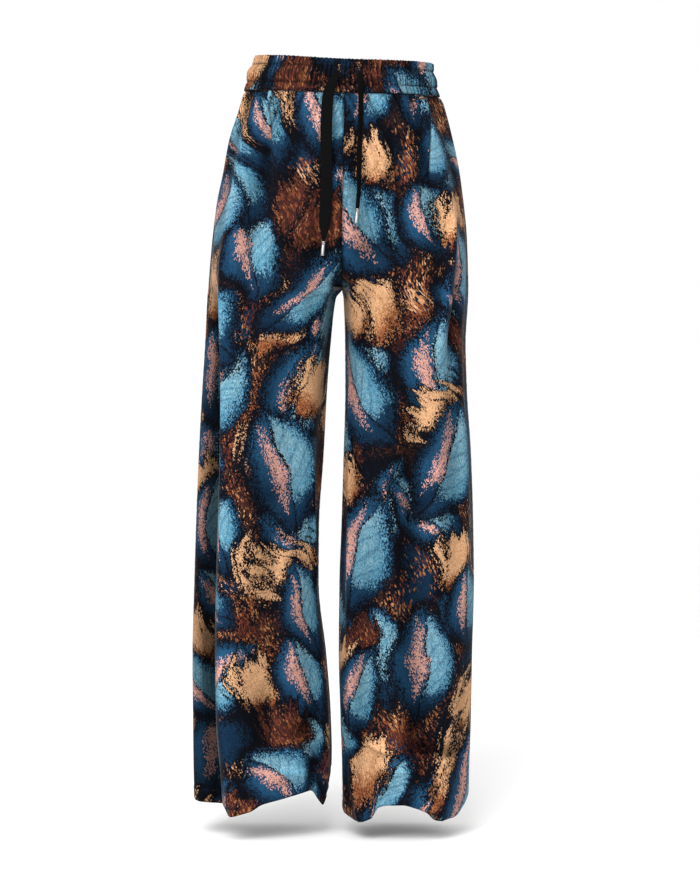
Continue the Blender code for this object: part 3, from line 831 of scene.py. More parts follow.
# ---- the cloth of one side
@dataclass
class HalfCloth:
    """One side's cloth as a fine grid, from its front's inner edge round to its back's.

    Attributes:
        gap: gap between the cloth and the waistband at the waist seam.
        near: steps of the grid away from a seam.
        front_columns: columns between the front's inner edge and the pocket mouth.
        pocket_columns: columns between the pocket mouth and the side seam.
        back_columns: columns of the back.
        mouth_share: where the pocket mouth's column lies across the front, low down.
        roll: how far an edge rolls in at its seam.
        roll_reach: how far from the seam the roll starts.
        turn_up: height of the hem's turned-up cloth.
        deep_fold: depth of a fold at which its painted shade is darkest.
        high_fold: height of a fold at which its painted highlight is lightest.
        deep_gather: depth of a small gather at which its painted shade is darkest.
    """

    side: Side
    form: WornForm = WornForm()
    gap: float = 0.3
    near: tuple[float, ...] = (0.0, 0.45, 1.1, 2.1, 3.5, 5.5)
    row_step: float = 3.1
    front_columns: int = 66
    pocket_columns: int = 15
    back_columns: int = 76
    mouth_share: float = 0.769
    roll: float = 1.3
    roll_reach: float = 2.3
    turn_up: float = 22.0
    deep_fold: float = 15.0
    high_fold: float = 9.0
    deep_gather: float = 1.6
    seed: int = 23
    points: Array = field(init=False)
    normals: Array = field(init=False)
    distance: Array = field(init=False)
    hollow: Array = field(init=False)
    mouth: int = field(init=False)
    seam: int = field(init=False)
    mouth_row: int = field(init=False)
    crotch_row: int = field(init=False)

    def __post_init__(self) -> None:
        """Lays the grid and shapes it."""
        self.mouth = self.front_columns + 2 * len(self.near) - 1
        levels = self.row_levels()
        turns, self.distance, from_inner = self.columns(levels)
        self.seam = int(np.argmin(np.abs(self.distance[0])))
        plain = self.form.surface(self.side, levels[:, None], turns)
        inward = np.minimum(turns, 2.0 - turns)
        relief = self.hang(plain[..., 2])
        relief *= smooth(inward / 0.06) * smooth((self.form.waist_seam - levels[:, None]) / 12.0)
        points = plain + self.side.facing * normals_of(plain) * relief[..., None]
        points[..., 2] += self.form.hem_rise(self.side, points)
        self.normals = self.side.facing * normals_of(points)
        fine = self.fine_relief(levels, from_inner)
        # Painted shade, darker deep in folds and creases, between gathers and along the rolled seams, and
        # painted highlight, lighter on crests and at the hem's turn-up; the print is darkened or lightened by
        # it.
        self.hollow = 0.9 * np.clip(-relief / self.deep_fold, 0.0, 1.0) ** 0.75
        self.hollow -= 0.5 * np.clip(relief / self.high_fold, 0.0, 1.0)
        self.hollow += 0.8 * np.clip(0.2 - fine / self.deep_gather, 0.0, 1.0)
        self.hollow -= 0.4 * np.clip(fine / (2.0 * self.deep_gather), 0.0, 1.0)
        self.points = tilted(points + self.normals * fine[..., None])

    def row_levels(self) -> Array:
        """Heights of the rows, close together at the waist seam, the mouth's end and the hem."""
        stops = (
            -self.form.waist_seam + self.gap / 2,
            -self.form.mouth_end,
            -self.form.crotch,
            -self.form.hem(self.side),
        )
        depths = [np.array([stops[0]])]
        for start, end in zip(stops, stops[1:]):
            count = round((end - start - 2 * self.near[-1]) / self.row_step) - 1
            depths.append(ruled(start, end, self.near, count)[1:])
        self.mouth_row = len(depths[1])
        self.crotch_row = self.mouth_row + len(depths[2])
        return -np.concatenate(depths)

    def columns(self, levels: Array) -> tuple[Array, Array, Array]:
        """Places the columns across each row.

        Args:
            levels: heights of the rows.

        Returns:
            The turn of each point, its distance from the side seam along the cloth, negative on
            the front, and its distance from the nearer inner edge.
        """
        front_turns, front_points, front_runs = self.form.rows(self.side, Face.FRONT, levels)
        back_turns, _, back_runs = self.form.rows(self.side, Face.BACK, levels)
        wide, back_wide = front_runs[:, -1], back_runs[:, -1]
        across = POCKET_MOUTH.read(self.side.value, levels)
        reach = np.abs(front_points[..., 0])
        mouth = np.array([np.interp(abs(x), row, run) for x, row, run in zip(across, reach, front_runs)])
        gone = smooth((self.form.mouth_end - levels) / 200.0)
        mouth += (self.mouth_share * wide - mouth) * gone
        inner = ruled(np.zeros(len(levels)), mouth, self.near, self.front_columns)
        outer = ruled(mouth, wide, self.near, self.pocket_columns)[:, 1:]
        front = np.concatenate([inner, outer], axis=1)
        back = ruled(np.zeros(len(levels)), back_wide, self.near, self.back_columns)[:, 1:]
        turns = np.array(
            [
                np.concatenate([np.interp(a, run_a, front_turns), np.interp(b, run_b, back_turns)])
                for a, run_a, b, run_b in zip(front, front_runs, back, back_runs)
            ]
        )
        distance = np.concatenate([front - wide[:, None], back], axis=1)
        from_inner = np.concatenate([front, back_wide[:, None] - back], axis=1)
        return turns, distance, from_inner

    def hang(self, level: Array) -> Array:
        """Sums the folds, creases and slow waves at each point."""
        relief = SlowWaves().relief(self.side, self.distance, level)
        for item in FOLDS + CREASES:
            if item.side is self.side:
                on_face = self.distance <= 0.0 if item.face is Face.FRONT else self.distance > 0.0
                relief += item.relief(self.form, self.distance, level) * on_face
        return relief

    def fine_relief(self, levels: Array, from_inner: Array) -> Array:
        """Sums the gathers, the rolled seam edges, their pucker and the hem at each point.

        Args:
            levels: heights of the rows.
            from_inner: each point's distance from the nearer inner edge.

        Returns:
            The move at each point.
        """
        below = self.form.waist_seam - levels[:, None] + np.zeros_like(from_inner)
        above_hem = levels[:, None] - self.form.hem(self.side) + np.zeros_like(from_inner)
        wide = float(np.abs(self.distance[0]).max()) + 10.0
        relief = WaistGathers().relief(self.side, self.distance, below, wide)
        broad = WaistGathers(pitch=21.0, depth=4.4, longest=130.0, seed=9)
        relief += broad.relief(self.side, self.distance, below, wide)
        from_mouth = np.abs(self.distance - self.distance[:, self.mouth][:, None])
        for edge in (from_inner, np.abs(self.distance), below):
            relief -= self.roll * hump(edge, self.roll_reach)
        gone = smooth((levels[:, None] - self.form.mouth_end) / 45.0)
        relief += (0.3 * hump(from_mouth - 4.0, 2.6) - 0.9 * hump(from_mouth, 1.6)) * gone
        chance = Random(self.seed + self.side.facing)
        pucker = np.zeros_like(relief)
        for period in (9.0, 13.0, 21.0):
            start = chance.uniform(0.0, 2 * math.pi)
            pucker += np.sin(levels[:, None] * (2 * math.pi / period) + start) / 3.0
        near_seam = hump(from_inner, 9.0) + 0.35 * hump(self.distance, 9.0)
        relief += 0.6 * pucker * near_seam * smooth(from_inner / 1.5)
        relief += 0.45 * smooth((self.turn_up - above_hem) / 1.5)
        relief -= 0.5 * hump(above_hem - self.turn_up, 1.6) + 0.8 * hump(above_hem, 1.4)
        return relief

    def cut(self, rows: slice, columns: slice, grain: int) -> Array:
        """Unrolls part of the cloth to the flat piece it was cut as.

        Args:
            rows: the part's rows.
            columns: the part's columns.
            grain: the column along which the cloth's grain runs.

        Returns:
            Places on the flat cloth, in metres: across from the grain line, and up.
        """
        part = self.points[rows]
        runs = run_lengths(part)
        across = runs - runs[:, grain][:, None]
        drop = run_lengths(part[:, grain][None])[0]
        up = -np.broadcast_to(drop[:, None], across.shape)
        return np.stack([across * self.side.facing, up], axis=-1)[:, columns] * METRE


# ---- pieces of cloth
def sewn(right: HalfCloth, left: HalfCloth) -> None:
    """Brings inner edges together: the two sides' above the crotch, and each leg's own below it.

    Args:
        right: the right side's cloth, whose points are moved.
        left: the left side's.
    """
    above, below = slice(0, right.crotch_row + 1), slice(right.crotch_row, None)
    for column in (0, -1):
        middle = (right.points[above, column] + left.points[above, column]) / 2
        right.points[above, column] = left.points[above, column] = middle
    for cloth in (right, left):
        middle = (cloth.points[below, 0] + cloth.points[below, -1]) / 2
        cloth.points[below, 0] = cloth.points[below, -1] = middle


@dataclass
class ClothPiece:
    """A piece of cloth: a flat grid laid on its points, with the pattern of its cut.

    Attributes:
        points: its outer points, rows down and columns away from the garment's front centre.
        cut: where each point lies on the flat cloth, in metres.
        hollow: the painted shade at each point, up to 1 deep in a fold, and below 0, a painted highlight, on
            a crest.
        is_reversed: whether the grid's faces have to be turned to point outwards.
        notch: the last row and the first column of a missing upper corner.
        offset: where on the printed cloth the piece was cut, in metres.
    """

    name: str
    points: Array
    cut: Array
    hollow: Array
    is_reversed: bool
    notch: tuple[int, int] | None = None
    offset: Pair = (0.0, 0.0)
    thickness: float = 2.0

    def mesh(self, outside: Material, inside: Material) -> Thing:
        """Makes the piece.

        Args:
            outside: finish of the pile side.
            inside: finish of the knitted back.

        Returns:
            The piece, with its wall as a live modifier.
        """
        shape = grid_of(self.points, self.cut + np.array(self.offset), self.hollow)
        if self.notch:
            bmesh.ops.delete(shape, geom=self.corner(shape), context="FACES")
        if self.is_reversed:
            bmesh.ops.reverse_faces(shape, faces=shape.faces)
        piece = piece_of(f"{self.name}_cloth", shape, [outside, inside])
        wall = piece.modifiers.new("wall", "SOLIDIFY")
        wall.thickness = self.thickness * METRE
        wall.offset = -1.0
        wall.material_offset = 1
        return piece

    def corner(self, shape: Shape) -> list[bmesh.types.BMFace]:
        """Finds the grid's faces above the notch's row and beyond its column."""
        (row, column), columns = self.notch, self.points.shape[1]
        shape.verts.index_update()
        missing = {
            vertex
            for vertex in shape.verts
            if vertex.index // columns <= row and vertex.index % columns >= column
        }
        return [face for face in shape.faces if missing.issuperset(face.verts)]


@dataclass
class LegPanels:
    """The front panel, the back panel and the pocket facing of one side.

    Attributes:
        facing_reach: how far the facing runs on behind the front panel.
        facing_drop: how far it lies under the front panel there.
        mouth_fade: length over which the pocket mouth closes at its lower end.
        facing_shift: how far its print is shifted from the front's, across and up, in metres.
        offsets: where on the printed cloth the front and the back were cut, in metres.
    """

    cloth: HalfCloth
    facing_reach: float = 9.0
    facing_drop: float = 2.4
    mouth_fade: float = 45.0
    facing_shift: Pair = (0.085, 0.03)
    offsets: dict[Face, Pair] = field(default_factory=dict)

    def panel(self, face: Face) -> ClothPiece:
        """Cuts the front or the back panel out of the side's cloth."""
        cloth, last = self.cloth, self.cloth.points.shape[1]
        columns = slice(0, cloth.seam + 1) if face is Face.FRONT else slice(cloth.seam, last)
        grain = cloth.seam // 2 if face is Face.FRONT else (cloth.seam + last) // 2
        return ClothPiece(
            f"{face.value}_panel_{cloth.side.value}",
            cloth.points[:, columns],
            cloth.cut(slice(None), columns, grain),
            cloth.hollow[:, columns],
            cloth.side is Side.LEFT,
            (cloth.mouth_row, cloth.mouth) if face is Face.FRONT else None,
            self.offsets[face],
        )

    def facing(self) -> ClothPiece:
        """Cuts the pocket facing, which runs on behind the front panel."""
        cloth = self.cloth
        rows = slice(0, cloth.mouth_row + 1)
        behind = cloth.distance[0, cloth.mouth] - self.facing_reach
        first = int(np.searchsorted(cloth.distance[0], behind))
        columns = slice(first, cloth.seam + 1)
        from_mouth = cloth.distance[rows, columns] - cloth.distance[rows, cloth.mouth][:, None]
        wide = -cloth.distance[rows, cloth.mouth][:, None]
        above_end = cloth.points[rows, cloth.mouth, 2] - cloth.points[cloth.mouth_row, cloth.mouth, 2]
        flush = smooth((from_mouth - 1.0) / (0.6 * wide))
        flush = np.maximum(flush, 1.0 - smooth(above_end / self.mouth_fade)[:, None])
        drop = self.facing_drop * np.where(from_mouth < -0.2, 1.0, 1.0 - flush)
        points = cloth.points[rows, columns] - cloth.normals[rows, columns] * drop[..., None]
        shift = np.array(self.facing_shift) * smooth(above_end / 110.0)[:, None, None]
        flat = cloth.cut(slice(None), slice(None), cloth.seam // 2)[rows, columns] + shift
        name = f"pocket_facing_{cloth.side.value}"
        hollow = cloth.hollow[rows, columns]
        return ClothPiece(name, points, flat, hollow, cloth.side is Side.LEFT, None, self.offsets[Face.FRONT])

    def make(self, wardrobe: "Wardrobe") -> list[Thing]:
        """Args:
            wardrobe: the garment's finishes.

        Returns:
            The front panel, the back panel and the facing.
        """
        made = []
        for item, slot in (
            (self.panel(Face.FRONT), "print_cloth"),
            (self.panel(Face.BACK), "print_cloth"),
            (self.facing(), "pocket_cloth"),
        ):
            piece = declared(item.mesh(wardrobe.print_cloth, wardrobe.cloth_back), item.name)
            wide, high, area = flat_size(item)
            LOG.info("%s: %.3f by %.3f m flat, %.4f square metres", item.name, wide, high, area)
            made.append(piece)
        return made


def flat_size(item: ClothPiece) -> tuple[float, float, float]:
    """Measures the flat piece that a cloth piece was cut as.

    Args:
        item: the piece.

    Returns:
        Its greatest width, its greatest length and its area, in metres.
    """
    points = item.points * METRE
    across, down = np.diff(points, axis=1), np.diff(points, axis=0)
    cells = np.linalg.norm(np.cross(across[:-1], down[:, :-1]), axis=2) / 2
    cells += np.linalg.norm(np.cross(across[1:], down[:, 1:]), axis=2) / 2
    if item.notch:
        row, column = item.notch
        cells[:row, column:] = 0.0
    wide = float(run_lengths(points)[:, -1].max())
    high = float(run_lengths(np.swapaxes(points, 0, 1))[:, -1].max())
    return wide, high, float(cells.sum())


@dataclass
class Waistband:
    """The gathered waistband: one closed tube of cloth over an elastic, with two buttonholes.

    Attributes:
        bottom: height of its lower edge, just above the waist seam.
        wall: thickness of the folded cloth and the elastic.
        steps: distance between the rows of its profile.
        roundness: exponent of its outline from above.
        stitch_pull: how far a row of stitches pulls the cloth in.
        scallop: how far the gathers stand over the upper edge.
        stitch_rows: heights of the two rows of stitches.
        slot_places: where the buttonholes lie along X.
        slot: width and height of a buttonhole.
        slot_level: height of the buttonholes' middle.
        gathered: how much longer the cloth is than the band.
        offset: where on the printed cloth the band was cut, in metres.
    """

    top: float = 24.0
    bottom: float = -23.85
    wall: float = 4.0
    columns: int = 1240
    steps: float = 1.7
    roundness: float = 2.2
    edge_round: float = 1.9
    pleat_pitch: float = 5.6
    pleat_depth: float = 2.6
    stitch_pull: float = 1.0
    scallop: float = 1.2
    stitch_rows: Pair = (-11.5, 12.0)
    slot_places: Pair = (-3.4, 23.2)
    slot: Pair = (3.4, 17.0)
    slot_level: float = 4.0
    gathered: float = 1.35
    offset: Pair = (0.098, 0.8)
    seed: int = 7

    def ring(self, level: float, around: Array) -> Array:
        """Outer points at one height, before any relief.

        Args:
            level: the height.
            around: angles from the front centre towards the wearer's left.

        Returns:
            The points.
        """
        right, left = BAND_SECTIONS.read("right_outer", level), BAND_SECTIONS.read("left_outer", level)
        front, back = BAND_SECTIONS.read("front", level), BAND_SECTIONS.read("back", level)
        exponent = 2 / self.roundness
        across = (left - right) / 2 * signed_power(np.sin(around), exponent)
        depth = np.where(np.cos(around) > 0.0, front, back)
        y = -depth * signed_power(np.cos(around), exponent)
        return np.stack([(right + left) / 2 + across, y, np.full(len(around), level)], axis=-1)

    def stations(self) -> tuple[Array, Array]:
        """Places evenly along the band, from its back centre right round to it.

        Returns:
            Their angles, and their distances from the front centre.
        """
        dense = np.linspace(-math.pi, math.pi, 7201)
        run = run_lengths(self.ring(0.0, dense)[None])[0]
        run -= run[len(run) // 2]
        along = np.linspace(run[0], run[-1], self.columns + 1)
        return np.interp(along, run, dense), along

    def length(self) -> float:
        """The band's length at half height."""
        _, along = self.stations()
        return float(along[-1] - along[0])

    def outside(self, level: float, along: Array) -> tuple[Array, Array]:
        """Points on the band's outside and the directions out of it.

        Args:
            level: their height.
            along: their places along the band from the front centre.

        Returns:
            The points and the directions.
        """
        angles, places = self.stations()
        along = (along - places[0]) % (places[-1] - places[0]) + places[0]
        around = np.interp(along, places, angles)
        ring, ahead = self.ring(level, around), self.ring(level, around + 0.002)
        out = np.cross(ahead - ring, np.array([0.0, 0.0, 1.0]))
        out /= np.linalg.norm(out, axis=1, keepdims=True)
        relief = self.relief(along, np.array([level]), np.zeros(1))[0]
        return tilted(ring + out * relief[:, None]), out

    def profile(self) -> tuple[Array, Array]:
        """The band's section: heights and insets, up the outside and down the inside."""
        straight = self.top - self.edge_round - self.bottom
        heights = self.bottom + straight * np.linspace(0.0, 1.0, round(straight / self.steps) + 1)
        near = self.bottom + np.array([0.0, 0.4, 0.9])
        heights = np.concatenate([near, heights[1:]])
        arc = np.linspace(0.0, math.pi, 9)[1:-1]
        radius = self.wall / 2
        over = self.top - self.edge_round + self.edge_round * np.sin(arc)
        levels = np.concatenate([heights, over, heights[::-1]])
        insets = [np.zeros(len(heights)), radius * (1.0 - np.cos(arc)), np.full(len(heights), self.wall)]
        return levels, np.concatenate(insets)

    def pleats(self, along: Array, seed: int) -> Array:
        """Heights of a row of uneven gathers round the band.

        Args:
            along: places along the band.
            seed: seed of this row.

        Returns:
            Heights from 0, in a groove, to about 1, on a crest.
        """
        length = self.length()
        chance = Random(seed)
        count = round(length / self.pleat_pitch)
        steps = np.array([chance.uniform(0.55, 1.5) for _ in range(count)])
        edges = np.concatenate([[0.0], np.cumsum(steps)]) / steps.sum() * length - length / 2
        heights = np.array([chance.uniform(0.5, 1.0) for _ in range(count)])
        index = np.clip(np.searchsorted(edges, along, side="right") - 1, 0, count - 1)
        share = np.clip((along - edges[index]) / (edges[index + 1] - edges[index]), 0.0, 1.0)
        return heights[index] * np.abs(np.sin(math.pi * share)) ** 0.65

    def relief(self, along: Array, levels: Array, insets: Array) -> Array:
        """How far the gathers and stitches move each point out.

        Args:
            along: places along the band, one for each column.
            levels: height of each row.
            insets: inset of each row.

        Returns:
            The move at each point, rows by columns.
        """
        low, high = self.stitch_rows
        z = levels[:, None]
        wavy = z * 0.9 * np.sin(along / 31.0) * 0.07
        middle, upper, lower = (self.pleats(along + wavy, self.seed + number) for number in range(3))
        above, under = smooth((z - high + 4.0) / 8.0), smooth((low + 4.0 - z) / 8.0)
        mixed = middle * (1.0 - 0.7 * above - 0.7 * under) + 0.7 * (above * upper + under * lower)
        relief = self.pleat_depth * (mixed - 0.45)
        for row in self.stitch_rows:
            relief = relief * (1.0 - 0.3 * hump(z - row, 2.0)) - self.stitch_pull * hump(z - row, 1.5)
        relief -= 0.9 * hump(z - self.bottom, 1.5)
        calm = np.ones_like(relief)
        length = self.length()
        for place in self.slot_places:
            off = (along - place + length / 2) % length - length / 2
            calm -= 0.75 * hump(off, 6.0)[None] * hump(z - self.slot_level, 13.0)
        outside = 1.0 - smooth(insets / self.wall)[:, None]
        inside_out = -0.5 * smooth(insets / self.wall - 0.3)[:, None]
        return relief * calm * (outside + inside_out)

    def mesh(self, wardrobe: "Wardrobe") -> Thing:
        """Makes the band, closed on itself both ways, with its buttonholes open.

        Args:
            wardrobe: the garment's finishes.

        Returns:
            The band.
        """
        around, along = self.stations()
        levels, insets = self.profile()
        rows = np.stack([self.ring(level, around) for level in levels])
        outward = np.cross(np.gradient(rows, axis=1), np.array([0.0, 0.0, 1.0]))
        outward /= np.linalg.norm(outward, axis=2, keepdims=True)
        scallop = self.pleats(along, self.seed + 1) - 0.5
        moved_out = self.relief(along, levels, insets)
        points = rows + outward * (moved_out - insets[:, None])[..., None]
        points[..., 2] += self.scallop * scallop * smooth((levels - self.top + 6.0) / 5.0)[:, None]
        points = tilted(points)
        points[:, -1] = points[:, 0]
        points = np.concatenate([points, points[:1]])
        height = run_lengths(np.swapaxes(points[:, :1], 0, 1))[0]
        cut = np.stack(np.broadcast_arrays(along[None] * self.gathered, height[:, None]), axis=-1) * METRE
        # Painted shade in the grooves between the band's gathers, kept on each point for the print's colour
        # to be darkened by.
        hollow = np.clip(0.45 - 1.4 * moved_out / self.pleat_depth, 0.0, 1.0)
        hollow = np.concatenate([hollow, hollow[:1]])
        shape = grid_of(points, cut + np.array(self.offset), hollow)
        bmesh.ops.remove_doubles(shape, verts=shape.verts, dist=1e-6)
        for place in self.slot_places:
            self.open_slot(shape, place)
        bmesh.ops.recalc_face_normals(shape, faces=shape.faces)
        band = piece_of("waistband_cloth", shape, [wardrobe.print_cloth, wardrobe.thread])
        return declared(band, "waistband")

    def open_slot(self, shape: Shape, place: float) -> None:
        """Opens one buttonhole through both sides of the band.

        Args:
            shape: the band.
            place: the buttonhole's middle along X.
        """
        wide, high = self.slot
        lean = float(WAIST_TILT.read("slope", self.slot_level)) * place
        found = []
        for face in shape.faces:
            x, y, z = face.calc_center_median() / METRE
            if y < 0.0 and abs(x - place) < wide / 2 and abs(z + lean - self.slot_level) < high / 2:
                found.append(face)
        inside = set(found)
        edges = {edge for face in found for edge in face.edges}
        rims = [edge for edge in edges if any(face not in inside for face in edge.link_faces)]
        bmesh.ops.delete(shape, geom=found, context="FACES")
        for face in bmesh.ops.bridge_loops(shape, edges=rims)["faces"]:
            face.material_index = 1

    def make(self, wardrobe: "Wardrobe") -> Thing:
        """Makes the band and declares its cloth.

        Args:
            wardrobe: the garment's finishes.

        Returns:
            The band.
        """
        band = self.mesh(wardrobe)
        flat = (self.length() * self.gathered * METRE, (self.top - self.bottom) * METRE)
        LOG.info("waistband: %.3f by %.3f m flat", *flat)
        return band


# ---- drawstring, metal ends and stitches
@dataclass
class Drawstring:
    """One free end of the drawstring, a flat woven tape, with its metal end.

    Attributes:
        stations: how many sections are read along the tape.
        corners: points of a section.
        into_end: how far the tape runs into the metal end.
        gap: distance from the tape's end to the metal end.
    """

    side: Side
    stations: int = 150
    corners: int = 24
    into_end: float = 1.5
    gap: float = 0.3
    end_radius: float = 2.7
    end_length: float = 20.0
    end_wall: float = 0.35
    end_steps: int = 40

    def route(self) -> Array:
        """The tape's sections in order: place, width, thickness and turn."""
        rows = np.array(TAPES[self.side], float)
        last = rows[-1].copy()
        step = rows[-1, :3] - rows[-2, :3]
        last[:3] += step / np.linalg.norm(step) * self.into_end
        return smooth_route(np.concatenate([rows, last[None]]), self.stations)

    def length(self) -> float:
        """The tape's length without its metal end, in metres."""
        return float(run_lengths(self.route()[None, :, :3])[0, -1]) * METRE

    def tape(self, finish: Material) -> Thing:
        """Makes the tape as a closed tube with an oblong, round-edged section.

        Args:
            finish: the woven tape's material.

        Returns:
            The tape.
        """
        route = self.route()
        runs = np.gradient(route[:, :3], axis=0)
        runs /= np.linalg.norm(runs, axis=1, keepdims=True)
        deep = np.cross(np.array([1.0, 0.0, 0.0]), runs)
        deep /= np.linalg.norm(deep, axis=1, keepdims=True)
        wide = np.cross(runs, deep)
        turn = np.radians(route[:, 5])[:, None]
        wide, deep = (
            wide * np.cos(turn) + deep * np.sin(turn),
            deep * np.cos(turn) - wide * np.sin(turn),
        )
        around = np.linspace(0.0, 2 * math.pi, self.corners + 1)
        across = signed_power(np.cos(around), 0.55)[None, :, None] * route[:, 3][:, None, None] / 2
        through = signed_power(np.sin(around), 0.8)[None, :, None] * route[:, 4][:, None, None] / 2
        points = route[:, None, :3] + wide[:, None] * across + deep[:, None] * through
        points[:, -1] = points[:, 0]
        down = run_lengths(route[None, :, :3])[0]
        round_run = run_lengths(points)
        cut = np.stack(np.broadcast_arrays(round_run, down[:, None]), axis=-1) * METRE
        shape = grid_of(points, cut)
        bmesh.ops.remove_doubles(shape, verts=shape.verts, dist=1e-6)
        rims = [edge for edge in shape.edges if edge.is_boundary]
        bmesh.ops.holes_fill(shape, edges=rims, sides=0)
        bmesh.ops.recalc_face_normals(shape, faces=shape.faces)
        return piece_of(f"drawstring_{self.side.value}_tape", shape, [finish])

    def end_profile(self) -> tuple[Pair, ...]:
        """The metal end's outline: distance from its axis and distance along it."""
        radius, length, wall = self.end_radius, self.end_length, self.end_wall
        inner, lip = radius - wall, radius + 0.12
        return (
            (inner, 2.4),
            (inner, 0.3),
            (radius - wall / 2, 0.0),
            (lip, 0.25),
            (lip, 0.9),
            (radius, 1.3),
            (radius, 4.6),
            (radius - 0.28, 5.1),
            (radius - 0.28, 5.7),
            (radius, 6.2),
            (radius, length - 1.5),
            (lip, length - 1.0),
            (lip, length - 0.3),
            (radius - wall / 2, length),
            (inner - 0.5, length - 0.2),
            (inner - 0.8, length - 1.6),
            (0.0, length - 1.9),
        )

    def metal_end(self, metal: Material, hollow: Material) -> Thing:
        """Turns the metal end from its outline and lays it in line with the tape's last run.

        Args:
            metal: the plated finish.
            hollow: the near-black finish inside its open ends, painted shade in place of the metal.

        Returns:
            The metal end.
        """
        before, last = (Vector(row[:3]) for row in TAPES[self.side][-2:])
        along = (last - before).normalized()
        shape = bmesh.new()
        profile = [shape.verts.new((x, 0.0, z)) for x, z in self.end_profile()]
        edges = [shape.edges.new(pair) for pair in zip(profile, profile[1:])]
        bmesh.ops.spin(
            shape,
            geom=profile + edges,
            cent=(0.0, 0.0, 0.0),
            axis=(0.0, 0.0, 1.0),
            angle=2 * math.pi,
            steps=self.end_steps,
            use_merge=True,
        )
        bmesh.ops.remove_doubles(shape, verts=shape.verts, dist=1e-4)
        rim = [edge for edge in shape.edges if edge.is_boundary]
        bmesh.ops.holes_fill(shape, edges=rim, sides=0)
        bmesh.ops.recalc_face_normals(shape, faces=shape.faces)
        # Painted shade: the faces deep inside the metal end take the near-black finish instead of the metal.
        for face in shape.faces:
            middle = face.calc_center_median()
            is_deep = Vector((middle.x, middle.y)).length < self.end_radius - 1.15 or 1.0 < middle.z < 2.5
            is_inner = Vector((middle.x, middle.y)).length < self.end_radius - self.end_wall / 2
            face.material_index = 1 if is_deep and is_inner else 0
        turned = along.to_track_quat("Z", "Y").to_matrix().to_4x4()
        place = Matrix.Translation((last + along * self.gap) * METRE)
        bmesh.ops.transform(shape, matrix=place @ turned @ Matrix.Scale(METRE, 4), verts=shape.verts)
        piece = piece_of(f"aglet_{self.side.value}_metal", shape, [metal, hollow])
        piece.data.set_sharp_from_angle(angle=math.radians(50))
        return piece

    def make(self, wardrobe: "Wardrobe") -> None:
        """Args:
            wardrobe: the garment's finishes.
        """
        tape = self.tape(wardrobe.tape)
        end = self.metal_end(wardrobe.metal, wardrobe.hollow)
        for piece, node, slot in ((tape, "drawstring", "tape"), (end, "aglet", "bright_metal")):
            declared(piece, f"{node}_{self.side.value}")
        path = self.route()[:, :3] * METRE
        self.length()
        LOG.info("%s: %.4f m long", tape.name, self.length())


@dataclass
class Stitches:
    """Rows of small thread stitches, one joined mesh of short rounded beads.

    Attributes:
        pitch: distance from stitch to stitch in the long rows.
        satin_pitch: distance from stitch to stitch round a buttonhole.
        satin_length: length of those stitches.
        satin_out: how far outside the buttonhole's edge they lie.
    """

    band: Waistband
    pitch: float = 3.1
    length: float = 2.3
    radius: float = 0.3
    satin_pitch: float = 0.62
    satin_length: float = 2.3
    satin_out: float = 1.2

    def bead(self, place: Array, along: Array, out: Array, length: float) -> Matrix:
        """Places one stitch.

        Args:
            place: its middle.
            along: its direction.
            out: the direction away from the cloth.
            length: its length.

        Returns:
            What turns a ball of radius 1 into the stitch.
        """
        along = Vector(along).normalized()
        side = Vector(out).cross(along).normalized()
        turned = Matrix((along, side, along.cross(side))).transposed().to_4x4()
        sized = Matrix.Diagonal((length / 2, self.radius, self.radius, 1.0))
        return Matrix.Translation(Vector(place) * METRE) @ turned @ Matrix.Scale(METRE, 4) @ sized

    def rows(self) -> list[Matrix]:
        """Places the two rows of stitches round the waistband."""
        found = []
        for level in self.band.stitch_rows:
            length = self.band.length()
            along = np.linspace(0.0, length, round(length / self.pitch), endpoint=False)
            points, out = self.band.outside(level, along)
            ahead, _ = self.band.outside(level, along + 0.5)
            for place, run, away in zip(points + out * 0.15, ahead - points, out):
                found.append(self.bead(place, run, away, self.length))
        return found

    def satin(self) -> list[Matrix]:
        """Places close stitches round each buttonhole."""
        found = []
        wide, high = (size / 2 + self.satin_out for size in self.band.slot)
        dense = np.linspace(0.0, 2 * math.pi, 721)
        ring = np.stack([wide * np.cos(dense), high * signed_power(np.sin(dense), 0.6)], axis=-1)
        run = run_lengths(ring[None])[0]
        at = np.linspace(0.0, run[-1], round(run[-1] / self.satin_pitch), endpoint=False)
        places = np.stack([np.interp(at, run, ring[:, axis]) for axis in (0, 1)], axis=-1)
        for middle in self.band.slot_places:
            for x, z in places:
                inner, _ = self.band.outside(self.band.slot_level + z * 0.9, np.array([middle + x * 0.6]))
                outer, out = self.band.outside(self.band.slot_level + z, np.array([middle + x]))
                across = outer[0] - inner[0]
                found.append(self.bead(outer[0] + out[0] * 0.2, across, out[0], self.satin_length))
        return found

    def make(self, wardrobe: "Wardrobe") -> None:
        """Makes both sets of stitches.

        Args:
            wardrobe: the garment's finishes.
        """
        for name, places in (("band_stitches", self.rows()), ("buttonhole_stitches", self.satin())):
            ball = bmesh.new()
            bmesh.ops.create_uvsphere(ball, u_segments=6, v_segments=4, radius=1.0)
            piece = copies_of(name, ball, places, [wardrobe.thread])
            declared(piece)
            LOG.info("%s: %d stitches", name, len(places))


